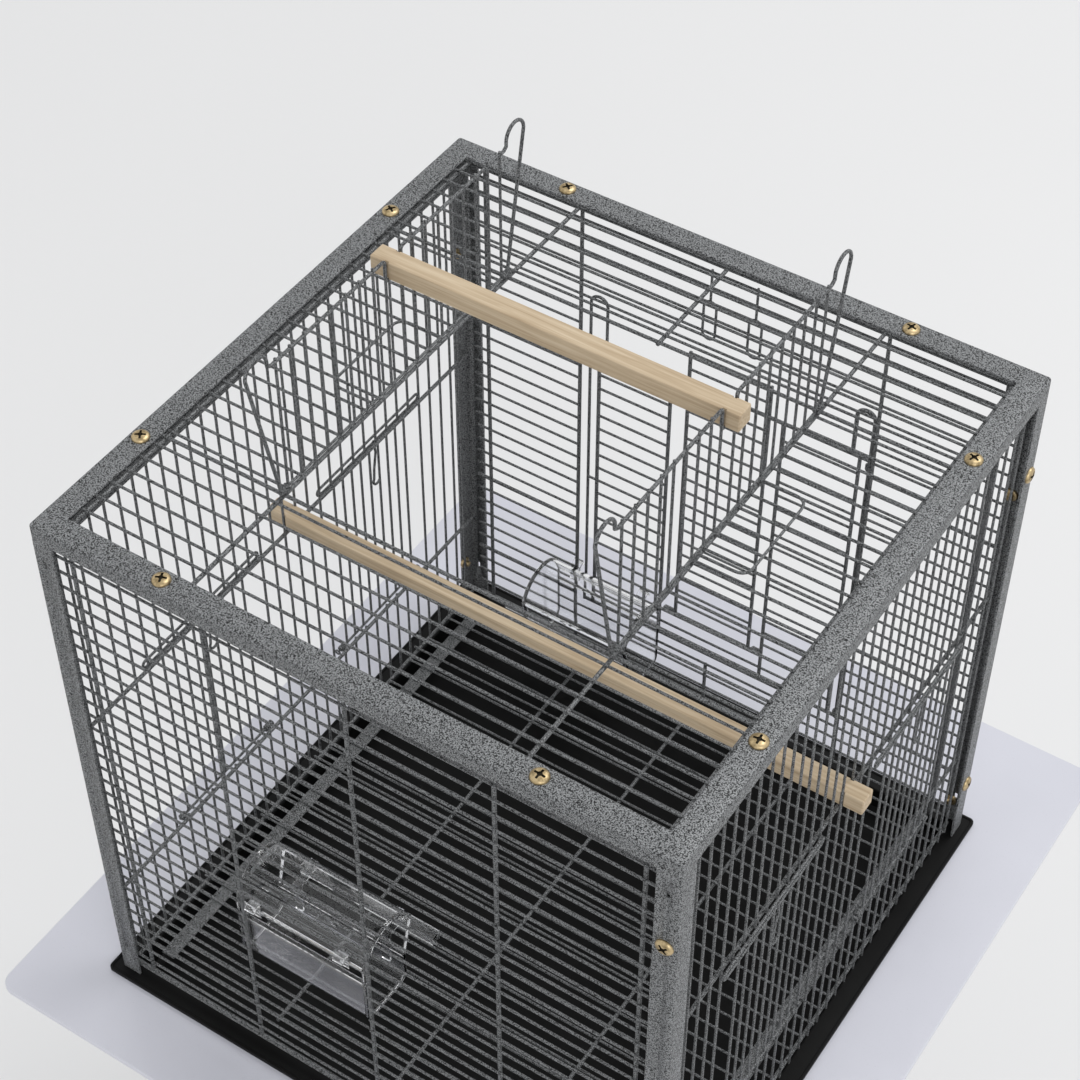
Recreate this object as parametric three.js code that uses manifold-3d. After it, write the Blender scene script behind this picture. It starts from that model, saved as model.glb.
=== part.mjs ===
// A square wire bird cage that stands on a pedestal with a cut-out deck.
// Millimetres. X runs along the front, left to right; Y runs from front to back; Z is up.
// The origin is on the floor, under the middle of the deck.

import * as THREE from "three";
import { mergeVertices } from "three/addons/utils/BufferGeometryUtils.js";
import Module from "manifold-3d";

const wasm = await Module();
wasm.setup();

// ---------- driving dimensions ----------

const gap = 0.3; // between pieces that touch
const swing = 0.8; // between a door's wires and the wires behind them

// cage frame
const cageWidth = 459;
const cageDepth = 457;
const cageHeight = 468;
const sheet = 1.6; // angle section thickness
const postLeg = 16;
const slotWidth = 2.4;
const slotLength = 7;
const slotDrop = 19; // top of a post to the middle of its upper slot
const slotRise = 30; // foot of a post to the middle of its lower slot
const railFlange = 17; // flat on top of the ring
const railDrop = 13; // down the outside of the ring

// wires
const wire = 2; // dense wires
const rod = 3; // supports and hinge rods
const shy = 0.2; // wires added to a welded panel are this much thinner, so that no faces coincide
const pitch = 13.7;
const wallInset = 6; // outer face of the frame to the middle of the wall wires

// tray and floor grate
const rimProud = 3;
const rimThick = 2.4;
const rimOverhang = 8; // past the posts
const rimWidth = 12.5;
const panDepth = 22;
const panWall = 2.5;
const strapWidth = 11;
const strapThick = 1.5;
const strapInset = 21; // wall wires to the middle of the strap
const stubEvery = 5; // which grate wires reach over the wall wires and carry it
const curbHeight = 7; // lowest wall wire above the tray rim

// side wall doors
const doorSill = 93;
const sideDoorHeight = 179.5;
const sideDoorNear = 45; // nearest edge from the middle of the wall
const sideDoorWidth = 105;
const sideDoorBars = 8;
const loopHeight = 6; // long closing loop at the top of a side door
const loopPast = 10; // loop past each edge of the door

// back wall doors
const bigDoorHalf = 115;
const bigDoorBottom = 55;
const bigDoorDrop = 90; // top of the ring to the top of the large door
const hoopDrop = 44; // short leg of the hooped rods
const hoopGap = 14;
const hoopSpan = 8; // lowest whole wall wire below the top of the hoops
const seamPlace = -122;
const backSupportDrop = 160; // top of the ring to the upper support of the back wall
const smallDoorHalf = 43;
const smallDoorBottom = 84;
const smallDoorDrop = 108; // top of the ring to the top of the small door
const doorInset = 8; // from the hinge rod to the first upright of the large door
const latchPlace = 18;
const latchRadius = 5;
const latchDrop = 50; // top of the ring to the top of the latch hooks
const latchLength = 35;
const latchHook = 8; // short leg of a latch hook

// roof and its flaps
const roofDrop = 2.8; // top of the ring to the middle of the roof wires
const openHalfX = 118.5;
const openHalfY = 122;
const flapRise = 101.7; // hinge to the top wire
const flapFlare = 12; // top of the side wires past the hinge end
const curlRadius = 10;
const curlLift = 5; // middle of the curl above the top wire

// perches
const perch = 13.4;
const perchGroove = 2.8;
const perchNeck = 5.5; // half width between the grooves
const roofPerchPastLeft = 12.5; // upper perch past the left flap
const roofPerchPastRight = 10.5;
const roofPerchRise = 86.3; // flap hinge to the underside of the upper perch
const lowPerchOverhang = 9; // past the outer face of the frame
const perchSeat = 272.5; // middle of the support under the low perch

// feeders
const plastic = 2;
const cupDepth = 42;
const cupHeight = 44;
const hoodRise = 81;
const feederBar = 9;
const feederBarLength = 111;
const feederBarReach = 58; // wall wires to the middle of the bar

// screws
const headRadius = 6;
const headHeight = 2.7;
const shankRadius = 2.4;
const shankLength = 5;
const railScrewPlace = 133;
const postScrewDrop = 81; // top of the ring to the upper post screws
const postScrewLow = 58;

// stand
const deckSide = 67.5; // deck past the cage frame
const deckFront = 62.5;
const deckBack = 103.5;
const deckThick = 5;
const deckCorner = 25;
const deckHeight = 600; // floor to the top of the deck
const subframeMargin = 20.5; // past the cage frame
const subframeWall = 18;
const subframeHeight = 32;
const armWidth = 30;
const armHeight = 13;
const flangeRadius = 70;
const flangeThick = 4;
const columnRadius = 30;
const columnWall = 2.5;
const baseMargin = 10.5; // past the cage frame
const baseThick = 8;
const baseCorner = 45;
const footRadius = 20;
const footHeight = 12;
const footInset = 45; // edge of the base to the middle of a foot

// ---------- places worked out from them ----------

const halfW = cageWidth / 2;
const halfD = cageDepth / 2;
const cageFloor = deckHeight + rimProud; // under the posts
const wallX = halfW - wallInset;
const wallY = halfD - wallInset;
const roofZ = cageHeight - roofDrop;
const hingeOff = wire + swing; // hinge axis from the plane of the wires
const flapAxisZ = roofZ + hingeOff;
const postTop = cageHeight - railDrop - gap;
const wallTop = roofZ - 12;
const wireEndX = wallX - 3.5; // supports run to here, behind the posts
const wireEndY = wallY - 3.5;
const borderX = halfW - 25.5;
const borderY = halfD - 18.5;
const cageSpan = Math.max(cageWidth, cageDepth);
const deckWidth = cageWidth + 2 * deckSide;
const deckDepth = cageDepth + deckFront + deckBack;
const cageShift = (deckFront - deckBack) / 2; // cage and pedestal from the middle of the deck
const subframeOuter = cageSpan + 2 * subframeMargin;
const baseSize = cageSpan + 2 * baseMargin;
const footPlace = baseSize / 2 - footInset;
const postScrewHigh = cageHeight - postScrewDrop;
const bigDoorTop = cageHeight - bigDoorDrop;
const smallDoorTop = cageHeight - smallDoorDrop;
const latchTop = cageHeight - latchDrop;
const latchBottom = latchTop - latchLength;
const roofPerchLeft = -openHalfX - roofPerchPastLeft;
const roofPerchRight = openHalfX + roofPerchPastRight;
const roofPerchBottom = flapAxisZ + roofPerchRise;

// ---------- materials ----------

const paint = { color: 0x6c7073, roughness: 0.45, metalness: 0.4 };
const brass = { color: 0xc8a868, roughness: 0.3, metalness: 1 };
const timber = { color: 0xb7a589, roughness: 0.6, metalness: 0 };
const blackPlastic = { color: 0x191919, roughness: 0.5, metalness: 0 };
const clearPlastic = { color: 0xe8eef0, roughness: 0.05, metalness: 0, transparent: true, opacity: 0.4 };
const whiteBoard = { color: 0xd1d1dc, roughness: 0.25, metalness: 0 };
const standPaint = { color: 0xc9cacf, roughness: 0.35, metalness: 0.2 };
const footRubber = { color: 0x2a2a2b, roughness: 0.8, metalness: 0 };

// ---------- solids ----------

function solid(geometry) {
  const bare = geometry.clone();
  bare.deleteAttribute("normal");
  bare.deleteAttribute("uv");
  const merged = mergeVertices(bare, 1e-4);
  return new wasm.Manifold(
    new wasm.Mesh({
      numProp: 3,
      vertProperties: merged.attributes.position.array,
      triVerts: new Uint32Array(merged.index.array),
    }),
  );
}

function geometryOf(body) {
  const made = body.getMesh();
  return new THREE.BufferGeometry()
    .setAttribute("position", new THREE.BufferAttribute(made.vertProperties, 3))
    .setIndex(new THREE.BufferAttribute(made.triVerts, 1));
}

function joined(bodies) {
  return bodies.reduce((sum, body) => sum.add(body));
}

function block(x0, x1, y0, y1, z0, z1) {
  const box = new THREE.BoxGeometry(x1 - x0, y1 - y0, z1 - z0);
  return solid(box.translate((x0 + x1) / 2, (y0 + y1) / 2, (z0 + z1) / 2));
}

// A solid turned about its axis; the profile holds [radius, height] points, and the axis is Z.
function turned(profile, segments) {
  const points = profile.map(([r, z]) => new THREE.Vector2(r, z));
  return solid(new THREE.LatheGeometry(points, segments).rotateX(Math.PI / 2));
}

function ring(inner, outer, length, segments) {
  const profile = [
    [inner, -length / 2],
    [outer, -length / 2],
    [outer, length / 2],
    [inner, length / 2],
    [inner, -length / 2],
  ];
  return turned(profile, segments);
}

// The outline of a bent strip of the given width whose middle follows the points.
function stripOutline(points, width) {
  const left = [];
  const right = [];
  points.forEach((point, i) => {
    const before = points[Math.max(i - 1, 0)];
    const after = points[Math.min(i + 1, points.length - 1)];
    const inward = new THREE.Vector2().subVectors(point, before).normalize();
    const outward = new THREE.Vector2().subVectors(after, point).normalize();
    const along = inward.clone().add(outward).normalize();
    const bend = Math.max(along.dot(i ? inward : outward), 0.5);
    const side = new THREE.Vector2(-along.y, along.x).multiplyScalar(width / 2 / bend);
    left.push(point.clone().add(side));
    right.push(point.clone().sub(side));
  });
  return new THREE.Shape([...left, ...right.reverse()]);
}

// A plate in the XY plane, from z0 to z1.
function plate(shape, z0, z1, curveSegments = 6) {
  const options = { depth: z1 - z0, bevelEnabled: false, curveSegments };
  return solid(new THREE.ExtrudeGeometry(shape, options).translate(0, 0, z0));
}

// A wire bent in the XY plane, of square section.
function bent(points, size = wire) {
  const path = points.map(([x, y]) => new THREE.Vector2(x, y));
  const half = size / 2 - shy;
  return plate(stripOutline(path, 2 * half), -half, half);
}

function arc(cx, cy, radius, from, to, steps) {
  return Array.from({ length: steps + 1 }, (_, i) => {
    const angle = THREE.MathUtils.degToRad(from + ((to - from) * i) / steps);
    return [cx + radius * Math.cos(angle), cy + radius * Math.sin(angle)];
  });
}

// A straight wire in the XY plane along "u" (X) or "v" (Y), at the given place.
function straight(along, place, from, to, size = wire, thick = size) {
  const half = (size - shy) / 2;
  const deep = (thick - shy) / 2;
  return along === "u"
    ? block(from, to, place - half, place + half, -deep, deep)
    : block(place - half, place + half, from, to, -deep, deep);
}

// A welded wire panel in the XY plane. Rails lie along V at the places in `rails`; between two rails,
// the wires of one strip lie along U at the places in `strips`. Outer wires and rails are rods.
function lattice(rails, strips, standing = false) {
  const low = Math.min(...strips.map((rows) => rows[0])) - rod / 2;
  const high = Math.max(...strips.map((rows) => rows[rows.length - 1])) + rod / 2;
  const slab = (u0, u1, v0, v1, half) =>
    standing ? block(v0, v1, u0, u1, -half, half) : block(u0, u1, v0, v1, -half, half);
  const isOuter = (row) => row - rod / 2 < low + gap || row + rod / 2 > high - gap;
  const halfOf = (row) => (isOuter(row) ? rod : wire) / 2;
  const holes = strips.flatMap((rows, i) =>
    rows.slice(1).map((row, j) => {
      const from = rows[j] + halfOf(rows[j]);
      return slab(rails[i] + rod / 2, rails[i + 1] - rod / 2, from, row - halfOf(row), wire);
    }),
  );
  const whole = slab(rails[0] - rod / 2, rails[rails.length - 1] + rod / 2, low, high, wire / 2);
  return whole.subtract(joined(holes));
}

// Places a pitch apart, inside the limit on both sides; offset is 0 or half a pitch.
function spread(limit, offset = pitch / 2) {
  const places = [];
  const first = Math.ceil((-limit - offset) / pitch);
  for (let i = first; offset + i * pitch <= limit; i += 1) places.push(offset + i * pitch);
  return places;
}

// Places a pitch apart, from one border to the other, with both borders.
function climb(from, to) {
  const count = Math.round((to - from) / pitch) - 1;
  return [from, ...Array.from({ length: count }, (_, i) => from + (i + 1) * pitch), to];
}

const outside = (places, low, high) => places.filter((place) => place < low || place > high);

// ---------- the scene ----------

const cage = new THREE.Group();
cage.position.set(0, cageShift, cageFloor);
const stand = new THREE.Group();
stand.position.y = cageShift;
const birdCage = new THREE.Group();
birdCage.add(stand, cage);

function add(group, name, body, finish) {
  const mesh = new THREE.Mesh(geometryOf(body), new THREE.MeshStandardMaterial(finish));
  mesh.name = name;
  group.add(mesh);
  return mesh;
}

// Sets a mesh drawn in the XY plane upright: u along `u`, v along `v`, at the given origin.
function stood(mesh, u, v, origin) {
  const basis = new THREE.Matrix4().makeBasis(u, v, new THREE.Vector3().crossVectors(u, v));
  mesh.quaternion.setFromRotationMatrix(basis);
  mesh.position.copy(origin);
  return mesh;
}

const X = new THREE.Vector3(1, 0, 0);
const Y = new THREE.Vector3(0, 1, 0);
const Z = new THREE.Vector3(0, 0, 1);

// ---------- stand ----------

function roundedPlate(width, depth, corner) {
  const x = width / 2 - corner;
  const y = depth / 2 - corner;
  const shape = new THREE.Shape();
  shape.absarc(x, y, corner, 0, Math.PI / 2);
  shape.absarc(-x, y, corner, Math.PI / 2, Math.PI);
  shape.absarc(-x, -y, corner, Math.PI, 1.5 * Math.PI);
  shape.absarc(x, -y, corner, 1.5 * Math.PI, 2 * Math.PI);
  return shape;
}

const panHalfX = halfW + rimOverhang - rimWidth;
const panHalfY = halfD + rimOverhang - rimWidth;

function makeDeck() {
  const outline = roundedPlate(deckWidth, deckDepth, deckCorner);
  const slab = plate(outline, deckHeight - deckThick, deckHeight, 5).translate([0, -cageShift, 0]);
  const x = panHalfX + gap;
  const y = panHalfY + gap;
  const cut = block(-x, x, -y, y, deckHeight - deckThick - 1, deckHeight + 1);
  add(stand, "stand_deck", slab.subtract(cut), whiteBoard);
}

function makeSubframe() {
  const top = deckHeight - deckThick - gap;
  const low = top - subframeHeight;
  const out = subframeOuter / 2;
  const inner = out - subframeWall;
  const hoop = block(-out, out, -out, out, low, top);
  const hollow = block(-inner, inner, -inner, inner, low - 1, top + 1);
  const arm = armWidth / 2;
  const armX = block(-out + 1, out - 1, -arm, arm, low - armHeight + 4, low + 4);
  const armY = block(-arm, arm, -out + 1, out - 1, low - armHeight + 4, low + 4);
  add(stand, "stand_subframe", hoop.subtract(hollow).add(armX).add(armY), standPaint);
  return low - armHeight + 4;
}

function makePedestal(armBottom) {
  const flangeTop = armBottom - gap;
  const flange = turned(
    [
      [0, flangeTop - flangeThick],
      [flangeRadius, flangeTop - flangeThick],
      [flangeRadius, flangeTop],
      [0, flangeTop],
    ],
    28,
  );
  add(stand, "stand_top_flange", flange, standPaint);
  const baseTop = footHeight + gap + baseThick;
  const columnTop = flangeTop - flangeThick - gap;
  const columnBottom = baseTop + gap;
  const column = ring(columnRadius - columnWall, columnRadius, columnTop - columnBottom, 24);
  add(stand, "stand_column", column, standPaint).position.z = (columnTop + columnBottom) / 2;
  const base = plate(roundedPlate(baseSize, baseSize, baseCorner), footHeight + gap, baseTop, 5);
  add(stand, "stand_base", base, standPaint);
}

function makeFeet() {
  const places = { front_left: [-1, -1], front_right: [1, -1], back_left: [-1, 1], back_right: [1, 1] };
  for (const [name, [sx, sy]] of Object.entries(places)) {
    const foot = turned(
      [
        [0, 0],
        [footRadius - 3, 0],
        [footRadius, 3],
        [footRadius, footHeight],
        [0, footHeight],
      ],
      14,
    );
    add(stand, `foot_${name}`, foot, footRubber).position.set(sx * footPlace, sy * footPlace, 0);
  }
}

// ---------- tray and grate ----------

function makeTray() {
  const outX = halfW + rimOverhang;
  const outY = halfD + rimOverhang;
  const top = -gap;
  const x = panHalfX - gap;
  const y = panHalfY - gap;
  const bottom = -rimProud - panDepth;
  const rim = block(-outX, outX, -outY, outY, top - rimThick, top);
  const pan = block(-x, x, -y, y, bottom, top - 0.5);
  const hollow = block(-x + panWall, x - panWall, -y + panWall, y - panWall, bottom + panWall, top + 1);
  add(cage, "tray", rim.add(pan).subtract(hollow), blackPlastic);
}

const grateZ = curbHeight + rod / 2 + gap + wire / 2;

function makeGrate() {
  const strapPlace = wallX - strapInset;
  const runs = spread(borderY - 2 * wire, 0);
  const last = runs[runs.length - 1];
  const mesh = lattice([-strapPlace, 0, strapPlace], [runs, runs]);
  const straps = [-strapPlace, strapPlace].map((x) => straight("v", x, -last - 3, last + 3, strapWidth, strapThick));
  const carriers = runs.filter((_, i) => i % stubEvery === 0);
  const stubs = carriers.flatMap((y) => {
    const inner = strapPlace + strapWidth / 2 - 1;
    return [straight("u", y, -wallX - 1, -inner), straight("u", y, inner, wallX + 1)];
  });
  add(cage, "floor_grate", joined([mesh, ...straps, ...stubs]), paint).position.z = grateZ;
}

// ---------- frame ----------

function screwHole(radius = shankRadius + gap) {
  return turned(
    [
      [0, -10],
      [radius, -10],
      [radius, 10],
      [0, 10],
    ],
    10,
  );
}

// An angle post at the corner on side sx, sy, with its corner edge outside.
function makePost(name, sx, sy, screwOnSide) {
  const outX = sx * halfW;
  const outY = sy * halfD;
  const inX = outX - sx * postLeg;
  const inY = outY - sy * postLeg;
  const thinX = outX - sx * sheet;
  const thinY = outY - sy * sheet;
  const pair = (a, b) => [Math.min(a, b), Math.max(a, b)];
  const sideLeg = block(...pair(outX, thinX), ...pair(outY, inY), 0, postTop);
  const faceLeg = block(...pair(outX, inX), ...pair(outY, thinY), 0, postTop);
  let post = sideLeg.add(faceLeg);
  for (const height of [postScrewHigh, postScrewLow]) {
    const drill = screwOnSide
      ? screwHole().rotate([0, 90, 0]).translate([outX, outY - (sy * postLeg) / 2, height])
      : screwHole().rotate([90, 0, 0]).translate([outX - (sx * postLeg) / 2, outY, height]);
    post = post.subtract(drill);
  }
  for (const height of [postTop - slotDrop, slotRise]) {
    const x = outX - (sx * postLeg) / 2;
    const ends = [height - slotLength / 2, height + slotLength / 2];
    post = post.subtract(block(x - slotWidth / 2, x + slotWidth / 2, ...pair(outY + sy, thinY - sy), ...ends));
  }
  add(cage, name, post, paint);
}

// A ring rail, drawn for the front and turned about Z; its ends are mitred.
function makeRail(name, turn, length, depth) {
  const half = length / 2;
  const edge = -depth / 2;
  const flat = block(-half, half, edge, edge + railFlange, cageHeight - sheet, cageHeight);
  const drop = block(-half, half, edge, edge + sheet, cageHeight - railDrop, cageHeight);
  const corner = half - gap / 2;
  const mitre = new THREE.Shape([
    new THREE.Vector2(-corner - 1, edge - 1),
    new THREE.Vector2(corner + 1, edge - 1),
    new THREE.Vector2(corner - 40, edge + 40),
    new THREE.Vector2(-corner + 40, edge + 40),
  ]);
  let rail = flat.add(drop).intersect(plate(mitre, cageHeight - railDrop - 1, cageHeight + 1));
  for (const x of [-railScrewPlace, railScrewPlace]) {
    rail = rail.subtract(screwHole().translate([x, edge + railFlange / 2, cageHeight]));
  }
  add(cage, name, rail, paint).rotation.z = turn;
}

function makeScrew(name, place, outward) {
  const screw = turned(
    [
      [0, -shankLength],
      [shankRadius, -shankLength],
      [shankRadius, gap],
      [headRadius, gap],
      [headRadius * 0.8, headHeight * 0.8],
      [0, headHeight],
    ],
    8,
  );
  const mesh = add(cage, name, screw, brass);
  mesh.quaternion.setFromUnitVectors(Z, outward);
  mesh.position.copy(place);
}

const corners = {
  front_left: { sx: -1, sy: -1, side: true },
  front_right: { sx: 1, sy: -1, side: false },
  back_right: { sx: 1, sy: 1, side: true },
  back_left: { sx: -1, sy: 1, side: false },
};

function makeFrame() {
  for (const [name, { sx, sy, side }] of Object.entries(corners)) {
    makePost(`post_${name}`, sx, sy, side);
    const outward = side ? new THREE.Vector3(sx, 0, 0) : new THREE.Vector3(0, sy, 0);
    const x = side ? sx * halfW : sx * (halfW - postLeg / 2);
    const y = side ? sy * (halfD - postLeg / 2) : sy * halfD;
    makeScrew(`screw_post_${name}_high`, new THREE.Vector3(x, y, postScrewHigh), outward);
    makeScrew(`screw_post_${name}_low`, new THREE.Vector3(x, y, postScrewLow), outward);
  }
  const turns = { front: 0, right: Math.PI / 2, back: Math.PI, left: -Math.PI / 2 };
  for (const [name, turn] of Object.entries(turns)) {
    const across = name === "front" || name === "back";
    const length = across ? cageWidth : cageDepth;
    const depth = across ? cageDepth : cageWidth;
    makeRail(`rail_${name}`, turn, length, depth);
    [-railScrewPlace, railScrewPlace].forEach((x, i) => {
      const place = new THREE.Vector3(x, -depth / 2 + railFlange / 2, cageHeight);
      place.applyAxisAngle(Z, turn);
      makeScrew(`screw_rail_${name}_${i + 1}`, place, Z);
    });
  }
}

// ---------- walls ----------

// Supports that run on past the border wires and bend outwards until they meet the posts.
function borderEnds(end, places, border) {
  return places.flatMap((place) =>
    [-1, 1].flatMap((s) => {
      const [from, to] = [s * border, s * end].sort((a, b) => a - b);
      const x0 = Math.min(s * end, s * (end - padWidth));
      const half = rod / 2 - shy;
      const pad = block(x0, x0 + padWidth, place - half, place + half, -half, padReach);
      return [straight("u", place, from, to, rod), pad];
    }),
  );
}

const padReach = wallInset - sheet - gap;
const padWidth = 7;

const eyeLength = 3;
const eyeInset = 3.5; // from a door's edge to the middle of its eye
const eyeBore = wire * 0.85; // a square wire turns in it
const eyeWall = 1.8;

// An eye that carries a hinge pin lying along U or V, hingeOff in front of the wires.
function eyeAlongU(u, v, length) {
  return ring(eyeBore, eyeBore + eyeWall, length, 8).rotate([0, 90, 0]).translate([u, v, hingeOff]);
}

function eyeAlongV(u, v, length) {
  return ring(eyeBore, eyeBore + eyeWall, length, 8).rotate([90, 0, 0]).translate([u, v, hingeOff]);
}

const feederRails = [-104, 0];
const feederWindow = [95, 180];

function makeFrontWall() {
  const rungs = climb(curbHeight, wallTop);
  const strips = [rungs, outside(rungs, ...feederWindow), rungs];
  const bars = [
    lattice([-borderX, ...feederRails, borderX], strips),
    ...borderEnds(wireEndX, [curbHeight, wallTop], borderX),
  ];
  const mesh = add(cage, "wall_front", joined(bars), paint);
  stood(mesh, X, Z, new THREE.Vector3(0, -wallY, 0));
}

const sideDoorFar = sideDoorNear + sideDoorWidth;
const sideDoorTop = doorSill + sideDoorHeight;

// Drawn with U along Y and V up; +W is outside. The wires stand, so the rails are its levels.
function makeSideWall(name, side) {
  const uprights = [-borderY, ...spread(borderY - 2 * wire), borderY];
  const beside = uprights.filter((y) => Math.abs(y) < sideDoorNear || Math.abs(y) > sideDoorFar);
  const levels = [curbHeight, doorSill, perchSeat, wallTop];
  const eyes = [sideDoorNear, sideDoorFar].map((y, i) => y + (i ? -eyeInset : eyeInset));
  const bars = [
    lattice(levels, [uprights, beside, uprights], true),
    ...borderEnds(wireEndY, levels, borderY),
    ...eyes.flatMap((u) => [-u, u].map((at) => eyeAlongU(at, doorSill, eyeLength))),
  ];
  const mesh = add(cage, name, joined(bars), paint);
  stood(mesh, Y.clone().multiplyScalar(side), Z, new THREE.Vector3(side * wallX, 0, 0));
}

// A bottom-hinged wire door: the pin lies along U at the sill, and a long loop closes over the wall.
function makeSideDoor(name, side, half) {
  const [u0, u1] = [half * sideDoorNear, half * sideDoorFar].sort((a, b) => a - b);
  const middle = (u0 + u1) / 2;
  const first = u0 + 2 * eyeInset + wire;
  const step = (u1 - u0 - 4 * eyeInset - 2 * wire) / sideDoorBars;
  const standing = Array.from({ length: sideDoorBars + 1 }, (_, i) => first + i * step);
  const loop = loopHeight / 2;
  const reach = sideDoorWidth / 2 + loopPast - loop;
  const bars = [
    lattice([rod / 2 - wire / 2, sideDoorHeight - loop], [standing], true),
    straight("u", 0, u0, u1),
    straight("u", sideDoorHeight - loop, middle - reach - loop / 2, middle + reach + loop / 2),
    straight("u", sideDoorHeight + loop, middle - reach - loop / 2, middle + reach + loop / 2),
    bent(arc(middle + reach, sideDoorHeight, loop, -90, 90, 3)),
    bent(arc(middle - reach, sideDoorHeight, loop, 90, 270, 3)),
  ];
  const at = middle + step / 2;
  const hook = [
    [at, sideDoorHeight - loop],
    [at + 2, sideDoorHeight - 16],
    [at - 1, sideDoorHeight - 32],
    ...arc(at + 1, sideDoorHeight - 42, 3.4, 150, 330, 3),
  ];
  bars.push(bent(hook));
  const mesh = add(cage, name, joined(bars), paint);
  const place = new THREE.Vector3(side * (wallX + hingeOff), 0, doorSill);
  stood(mesh, Y.clone().multiplyScalar(side), Z, place);
}

const highRung = Math.round((cageHeight - backSupportDrop - curbHeight) / pitch);
const backLevels = [4, 10, highRung].map((rung) => curbHeight + rung * pitch);

// Drawn with U along -X and V up, so that +W is outside; X places are mirrored by `fromX`.
const fromX = (x) => -x;
const hingeRail = fromX(bigDoorHalf + rod + gap);
const seamRail = fromX(seamPlace);

function makeBackWall() {
  const rungs = climb(curbHeight, wallTop);
  const middle = outside(rungs, bigDoorBottom - 3, bigDoorTop - hoopSpan);
  const bars = [
    lattice([-borderX, hingeRail, seamRail, borderX], [rungs, middle, rungs]),
    straight("v", 0, curbHeight, middle.filter((z) => z < bigDoorBottom).pop(), rod),
    ...borderEnds(wireEndX, [curbHeight, wallTop], borderX),
    ...borderEnds(wireEndX, backLevels, borderX),
  ];
  for (const z of backLevels) {
    bars.push(straight("u", z, -borderX, hingeRail, rod), straight("u", z, seamRail, borderX, rod));
  }
  for (const z of [bigDoorBottom + eyeInset + rod, bigDoorTop - hoopDrop - 2 * rod]) {
    const arm = block(hingeRail - 1, fromX(bigDoorHalf) - eyeBore, z - 1.5, z + 1.5, -wire / 2, hingeOff);
    bars.push(eyeAlongV(fromX(bigDoorHalf), z, eyeLength), arm);
  }
  for (const u of [-latchPlace, latchPlace]) {
    const foot = latchBottom + latchRadius;
    const bow = arc(u, foot, latchRadius, 180, 360, 4);
    bars.push(bent([[u - latchRadius, latchTop], ...bow, [u + latchRadius, foot + latchHook]]));
  }
  const mesh = add(cage, "wall_back", joined(bars), paint);
  stood(mesh, X.clone().negate(), Z, new THREE.Vector3(0, wallY, 0));
}

// The large door turns on its right-hand rod; both rods hoop over and end in a short leg.
function makeBigDoor() {
  const u0 = fromX(bigDoorHalf);
  const u1 = fromX(-bigDoorHalf);
  const rail = smallDoorHalf + rod;
  const rungTop = bigDoorTop - hoopDrop;
  const rungs = climb(bigDoorBottom + 2, rungTop);
  const hinged = [bigDoorBottom + 2, smallDoorBottom, rungTop];
  const hoopTop = bigDoorTop - hoopGap / 2;
  const bars = [
    lattice([u0 + doorInset, -rail, rail, u1 - doorInset], [rungs, hinged, rungs]),
    ...[-1, 1].map((s) => eyeAlongU(s * (smallDoorHalf - eyeInset), smallDoorBottom, eyeLength)),
    ...[0, rungs.length - 1].map((i) => straight("u", rungs[i], u0, u1, rod)),
    straight("u", rungs[Math.round(rungs.length / 2)], u0, u0 + doorInset),
    straight("u", rungs[Math.round(rungs.length / 2)], u1 - doorInset, u1),
  ];
  for (const [u, s, width] of [[u0, 1, wire], [u1, -1, rod]]) {
    const bow = arc(u + (s * hoopGap) / 2, hoopTop, hoopGap / 2, s > 0 ? 180 : 0, s > 0 ? 0 : 180, 6);
    bars.push(bent([[u, bigDoorBottom], ...bow, [u + s * hoopGap, rungTop]], width));
  }
  const mesh = add(cage, "door_back_large", joined(bars), paint);
  stood(mesh, X.clone().negate(), Z, new THREE.Vector3(0, wallY + hingeOff, 0));
}

function makeSmallDoor() {
  const inner = smallDoorHalf - 2 * eyeInset - rod;
  const rise = smallDoorTop - smallDoorBottom;
  const bars = [
    lattice([-inner, inner], [climb(rod / 2 - wire / 2, rise)]),
    straight("u", 0, -smallDoorHalf, smallDoorHalf),
  ];
  const mesh = add(cage, "door_back_small", joined(bars), paint);
  const place = new THREE.Vector3(0, wallY + 2 * hingeOff, smallDoorBottom);
  stood(mesh, X.clone().negate(), Z, place);
}

// ---------- roof ----------

function makeRoof() {
  const end = borderY + 2;
  const side = wallX - 13;
  const runs = [-end, ...spread(borderY - 2 * wire), end];
  const around = runs.filter((y) => Math.abs(y) > openHalfY + wire);
  const middle = [...around, -openHalfY, openHalfY].sort((a, b) => a - b);
  const eyePlace = openHalfY - 2.5;
  const bars = [
    lattice([-side, -openHalfX, openHalfX, side], [runs, middle, runs]),
    straight("v", 0, openHalfY, end, rod, wire),
    ...[-openHalfY, openHalfY].map((y) => straight("u", y, -openHalfX, openHalfX, rod, wire)),
    ...[-1, 1].flatMap((sx) => [-1, 1].map((sy) => eyeAlongV(sx * openHalfX, sy * eyePlace, eyeLength))),
  ];
  add(cage, "roof_panel", joined(bars), paint).position.z = roofZ;
}

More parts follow.
